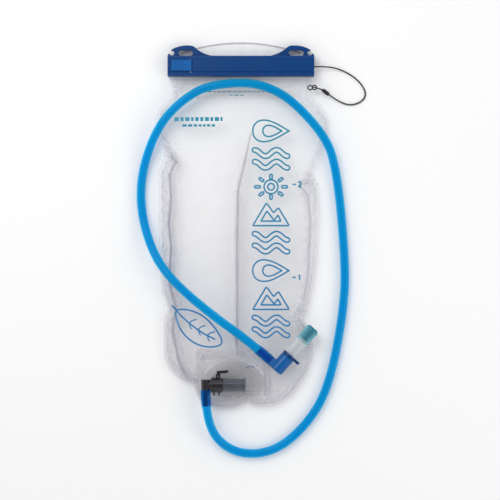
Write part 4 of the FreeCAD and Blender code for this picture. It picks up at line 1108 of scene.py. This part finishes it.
def marks():
    """Every printed line: a column of figures, a fill scale, rows of small bars, a leaf and a short arc.
    Each is a line, whether it is closed, and its width as a share of the usual stroke if it has its own."""
    lines = []
    column = ["drop", "water", "sun", "hill", "water", "drop", "hill", "water"]
    for i, kind in enumerate(column):
        lines += motif(kind, 31.0, 103.5 - 30.6 * i)
    for number, y in ((2, 45.0), (1, -57.0)):
        shape = np.array(NUMERALS[number]) * 0.8
        lines.append((resample(round_off(shape, 2, False), 30) + (62.5, y), False))
        lines.append((np.array([(54.5, y), (56.4, y), (58.4, y)]), False))
    for y, start, end, thick, seed in (
        (116.5, -75.0, -22.0, 2.6, 4), (109.5, -66.0, -27.0, 1.5, 5), (147.5, -38.0, 24.0, 0.55, 6),
        (143.5, -15.0, 5.0, 0.55, 7),
    ):
        lines += dashes(y, start, end, thick, seed)
    leaf = round_off(np.array([
        (-75.0, -92.0), (-60.0, -92.0), (-44.0, -98.0), (-30.0, -112.0), (-20.0, -130.0),
        (-34.0, -134.0), (-50.0, -131.0), (-64.0, -121.0), (-72.0, -107.0)]), 3, True)
    rib = round_off(np.array([(-78.0, -88.0), (-64.0, -103.0), (-46.0, -117.0), (-30.0, -125.0)]), 3, False)
    lines.append((resample(leaf, 120, True), True))
    lines.append((resample(rib, 60), False))
    for share in (0.30, 0.55, 0.8):
        root = np.array([(-70.0 + 40.0 * share, -98.0 - 27.0 * share)])
        for aside in ((5.0, 3.5), (-0.5, -7.0)):
            vein = np.vstack([root, root + np.array(aside) * 0.6, root + np.array(aside) + (2.5, -0.5)])
            lines.append((resample(round_off(vein, 2, False), 16), False, 0.8))
    turn = np.linspace(math.radians(112), math.radians(68), 14)
    lines.append((np.stack([8.0 + 13.0 * np.cos(turn), -168.5 + 13.0 * np.sin(turn)], axis=1), False, 0.6))
    return lines


class BLADDER_OT_prints(bpy.types.Operator):
    """The printed lines on the front film: drops, waves, hills, suns, a leaf, bars and a fill scale"""
    bl_idname = "bladder.prints"
    bl_label = "Printed marks"

    def execute(self, context):
        width = context.scene.bladder_print.stroke / MM
        film = bpy.data.objects["film-front"]
        tree = BVHTree.FromObject(film, context.evaluated_depsgraph_get())
        down = Vector((0, 0, -1))
        points, faces = [], []
        count = 0
        for line, closed, *thick in marks():
            rails, these = stroke(line, width * (thick[0] if thick else 1.0), closed)
            faces += [[k + count for k in face] for face in these]
            points.append(rails)
            count += len(rails)
        points = np.concatenate(points)
        heights = [tree.ray_cast(Vector((x * MM, y * MM, 0.1)), down)[0] for x, y in points[:, :2]]
        if None in heights:
            raise RuntimeError("a printed line runs off the front film")
        points[:, 2] += np.array([hit.z for hit in heights]) / MM
        piece = mesh_object("printed-marks", points, faces, smooth=False)
        piece.data.materials.append(ink_material())
        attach(piece, "root")
        return {"FINISHED"}


class BLADDER_OT_closure(bpy.types.Operator):
    """The slide closure: glass-filled nylon slider, latch, pin and the zip's two profiles"""
    bl_idname = "bladder.closure"
    bl_label = "Slide closure"

    def execute(self, context):
        # Glass-filled nylon, moulded: deep blue with a satin skin.
        clothe(["slider_body"], moulded(
            "moulded nylon", "#013E7C", "#013A76", 0.32, 0.5, edge=0.6, shine=0.25))
        # The latch is the same nylon in a brighter blue.
        clothe(["slider_latch"], moulded(
            "moulded nylon, bright blue", "#0260AC", "#02579F", 0.3, 0.4, edge=0.4, shine=0.3))
        # Polyethylene profiles, extruded: milky and waxy.
        clothe(["zip_rail_front", "zip_rail_back"], moulded(
            "extruded polyethylene profile", "#D5DDE4", "#C9D3DC", 0.35, 0.4, opacity=0.75))
        clothe(["latch_pin"], metal_material("stainless steel pin", "#C9CBCE", 0.25))
        return {"FINISHED"}


# Each spring's node, axis, turns and wire radius, the joint that shortens it, whether its high end is the one
# that stays, and how far it is shortened at the joint's limit, in millimetres.
SPRINGS = [
    ("poppet_spring", 0, 3.5, 0.35, "poppet_slide", True, 1.6),
    ("lever_spring", 1, 3.0, 0.25, "lever_press", False, 1.4),
]


class BLADDER_OT_port(bpy.types.Operator):
    """The outlet port: clear flange, smoked socket, black collar and lever, elbow, valve and springs"""
    bl_idname = "bladder.port"
    bl_label = "Outlet port"

    def execute(self, context):
        # Clear polyurethane, moulded and welded to the film: glassy with milky edges.
        clothe(["port_flange"], moulded(
            "moulded clear polyurethane", "#C9C8CE", "#BDBBC4", 0.14, 0.5, opacity=0.10, edge=0.9))
        # Smoked polycarbonate, moulded.
        clothe(["port_socket"], moulded(
            "smoked polycarbonate", "#62656F", "#565963", 0.14, 0.4, opacity=0.66))
        clothe(["port_end_cap"], moulded(
            "smoked polycarbonate cap", "#6A6D76", "#5C5F69", 0.16, 0.4, opacity=0.72))
        # Acetal, moulded: black and slightly waxy.
        clothe(["port_collar", "hose_elbow", "release_lever"], moulded(
            "black acetal copolymer", "#1B171B", "#262127", 0.26, 0.3))
        clothe(["port_poppet"], moulded("white acetal", "#D9D9D6", "#CFCFCC", 0.3, 0.3))
        steel = metal_material("drawn spring steel", "#B4B6BA", 0.3)
        for node, axis, turns, wire, joint, fixed_end, travel in SPRINGS:
            low, high = node_box(node)
            spring = coil(node.replace("_", "-"), low, high, axis, turns, wire)
            spring.data.materials.append(steel)
            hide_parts(node)
            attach(spring, "root")
            line = np.zeros(3)
            line[axis] = 1.0
            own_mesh(spring)
        clothe(["lever_pin"], metal_material("steel lever pin", "#C4C6C9", 0.25))
        clothe(["elbow_o_rings", "rotor_o_rings"], moulded("nitrile rubber", "#141414", "#1E1E1E", 0.5, 0.2))
        return {"FINISHED"}


class BLADDER_OT_valve(bpy.types.Operator):
    """The bite valve: blue housing and shut-off rotor, frosted stem, teal insert and silicone sleeve"""
    bl_idname = "bladder.valve"
    bl_label = "Bite valve"

    def execute(self, context):
        # Tinted polypropylene, moulded: glossy, deep blue where thick.
        clothe(["valve_housing"], moulded(
            "tinted polypropylene", "#0060A6", "#005094", 0.24, 0.4, edge=0.5, shine=0.35))
        clothe(["shutoff_rotor"], moulded(
            "tinted polypropylene, deep", "#003E7A", "#00346C", 0.24, 0.4, edge=0.4, shine=0.3))
        # Frosted polypropylene, moulded.
        clothe(["mouth_stem"], moulded(
            "frosted polypropylene", "#DCE3E6", "#CBD5DA", 0.34, 0.3, opacity=0.62))
        clothe(["mouth_insert"], moulded("teal silicone", "#008098", "#00748C", 0.36, 0.3, shine=0.25))
        clothe(["bite_sleeve"], moulded("clear silicone", "#8FD3DC", "#7CC6D2", 0.22, 0.3, opacity=0.10))
        return {"FINISHED"}


class BLADDER_PT_panel(bpy.types.Panel):
    """Lists the bladder's pieces and their sizes"""
    bl_idname = "BLADDER_PT_panel"
    bl_label = "Hydration bladder"
    bl_space_type = "VIEW_3D"
    bl_region_type = "UI"
    bl_category = "Bladder"

    def draw(self, context):
        for name, settings in GROUPS.items():
            column = self.layout.column(align=True)
            for key in settings.__annotations__:
                column.prop(getattr(context.scene, name), key)
        for operator in OPERATORS:
            self.layout.operator(operator.bl_idname)


GROUPS = {
    "bladder_stage": StageSettings,
    "bladder_hose": HoseSettings,
    "bladder_lanyard": LanyardSettings,
    "bladder_film": FilmSettings,
    "bladder_print": PrintSettings,
}
OPERATORS = [
    BLADDER_OT_stage,
    BLADDER_OT_hose,
    BLADDER_OT_lanyard,
    BLADDER_OT_film,
    BLADDER_OT_prints,
    BLADDER_OT_closure,
    BLADDER_OT_port,
    BLADDER_OT_valve,
]


def register():
    for group in (*GROUPS.values(), *OPERATORS, BLADDER_PT_panel):
        bpy.utils.register_class(group)
    for name, settings in GROUPS.items():
        setattr(bpy.types.Scene, name, bpy.props.PointerProperty(type=settings))


def unregister():
    for name in GROUPS:
        delattr(bpy.types.Scene, name)
    for group in reversed((*GROUPS.values(), *OPERATORS, BLADDER_PT_panel)):
        bpy.utils.unregister_class(group)


def main():
    register()
    for operator in OPERATORS:
        getattr(bpy.ops.bladder, operator.bl_idname.split(".")[1])()


if __name__ == "__main__":
    main()
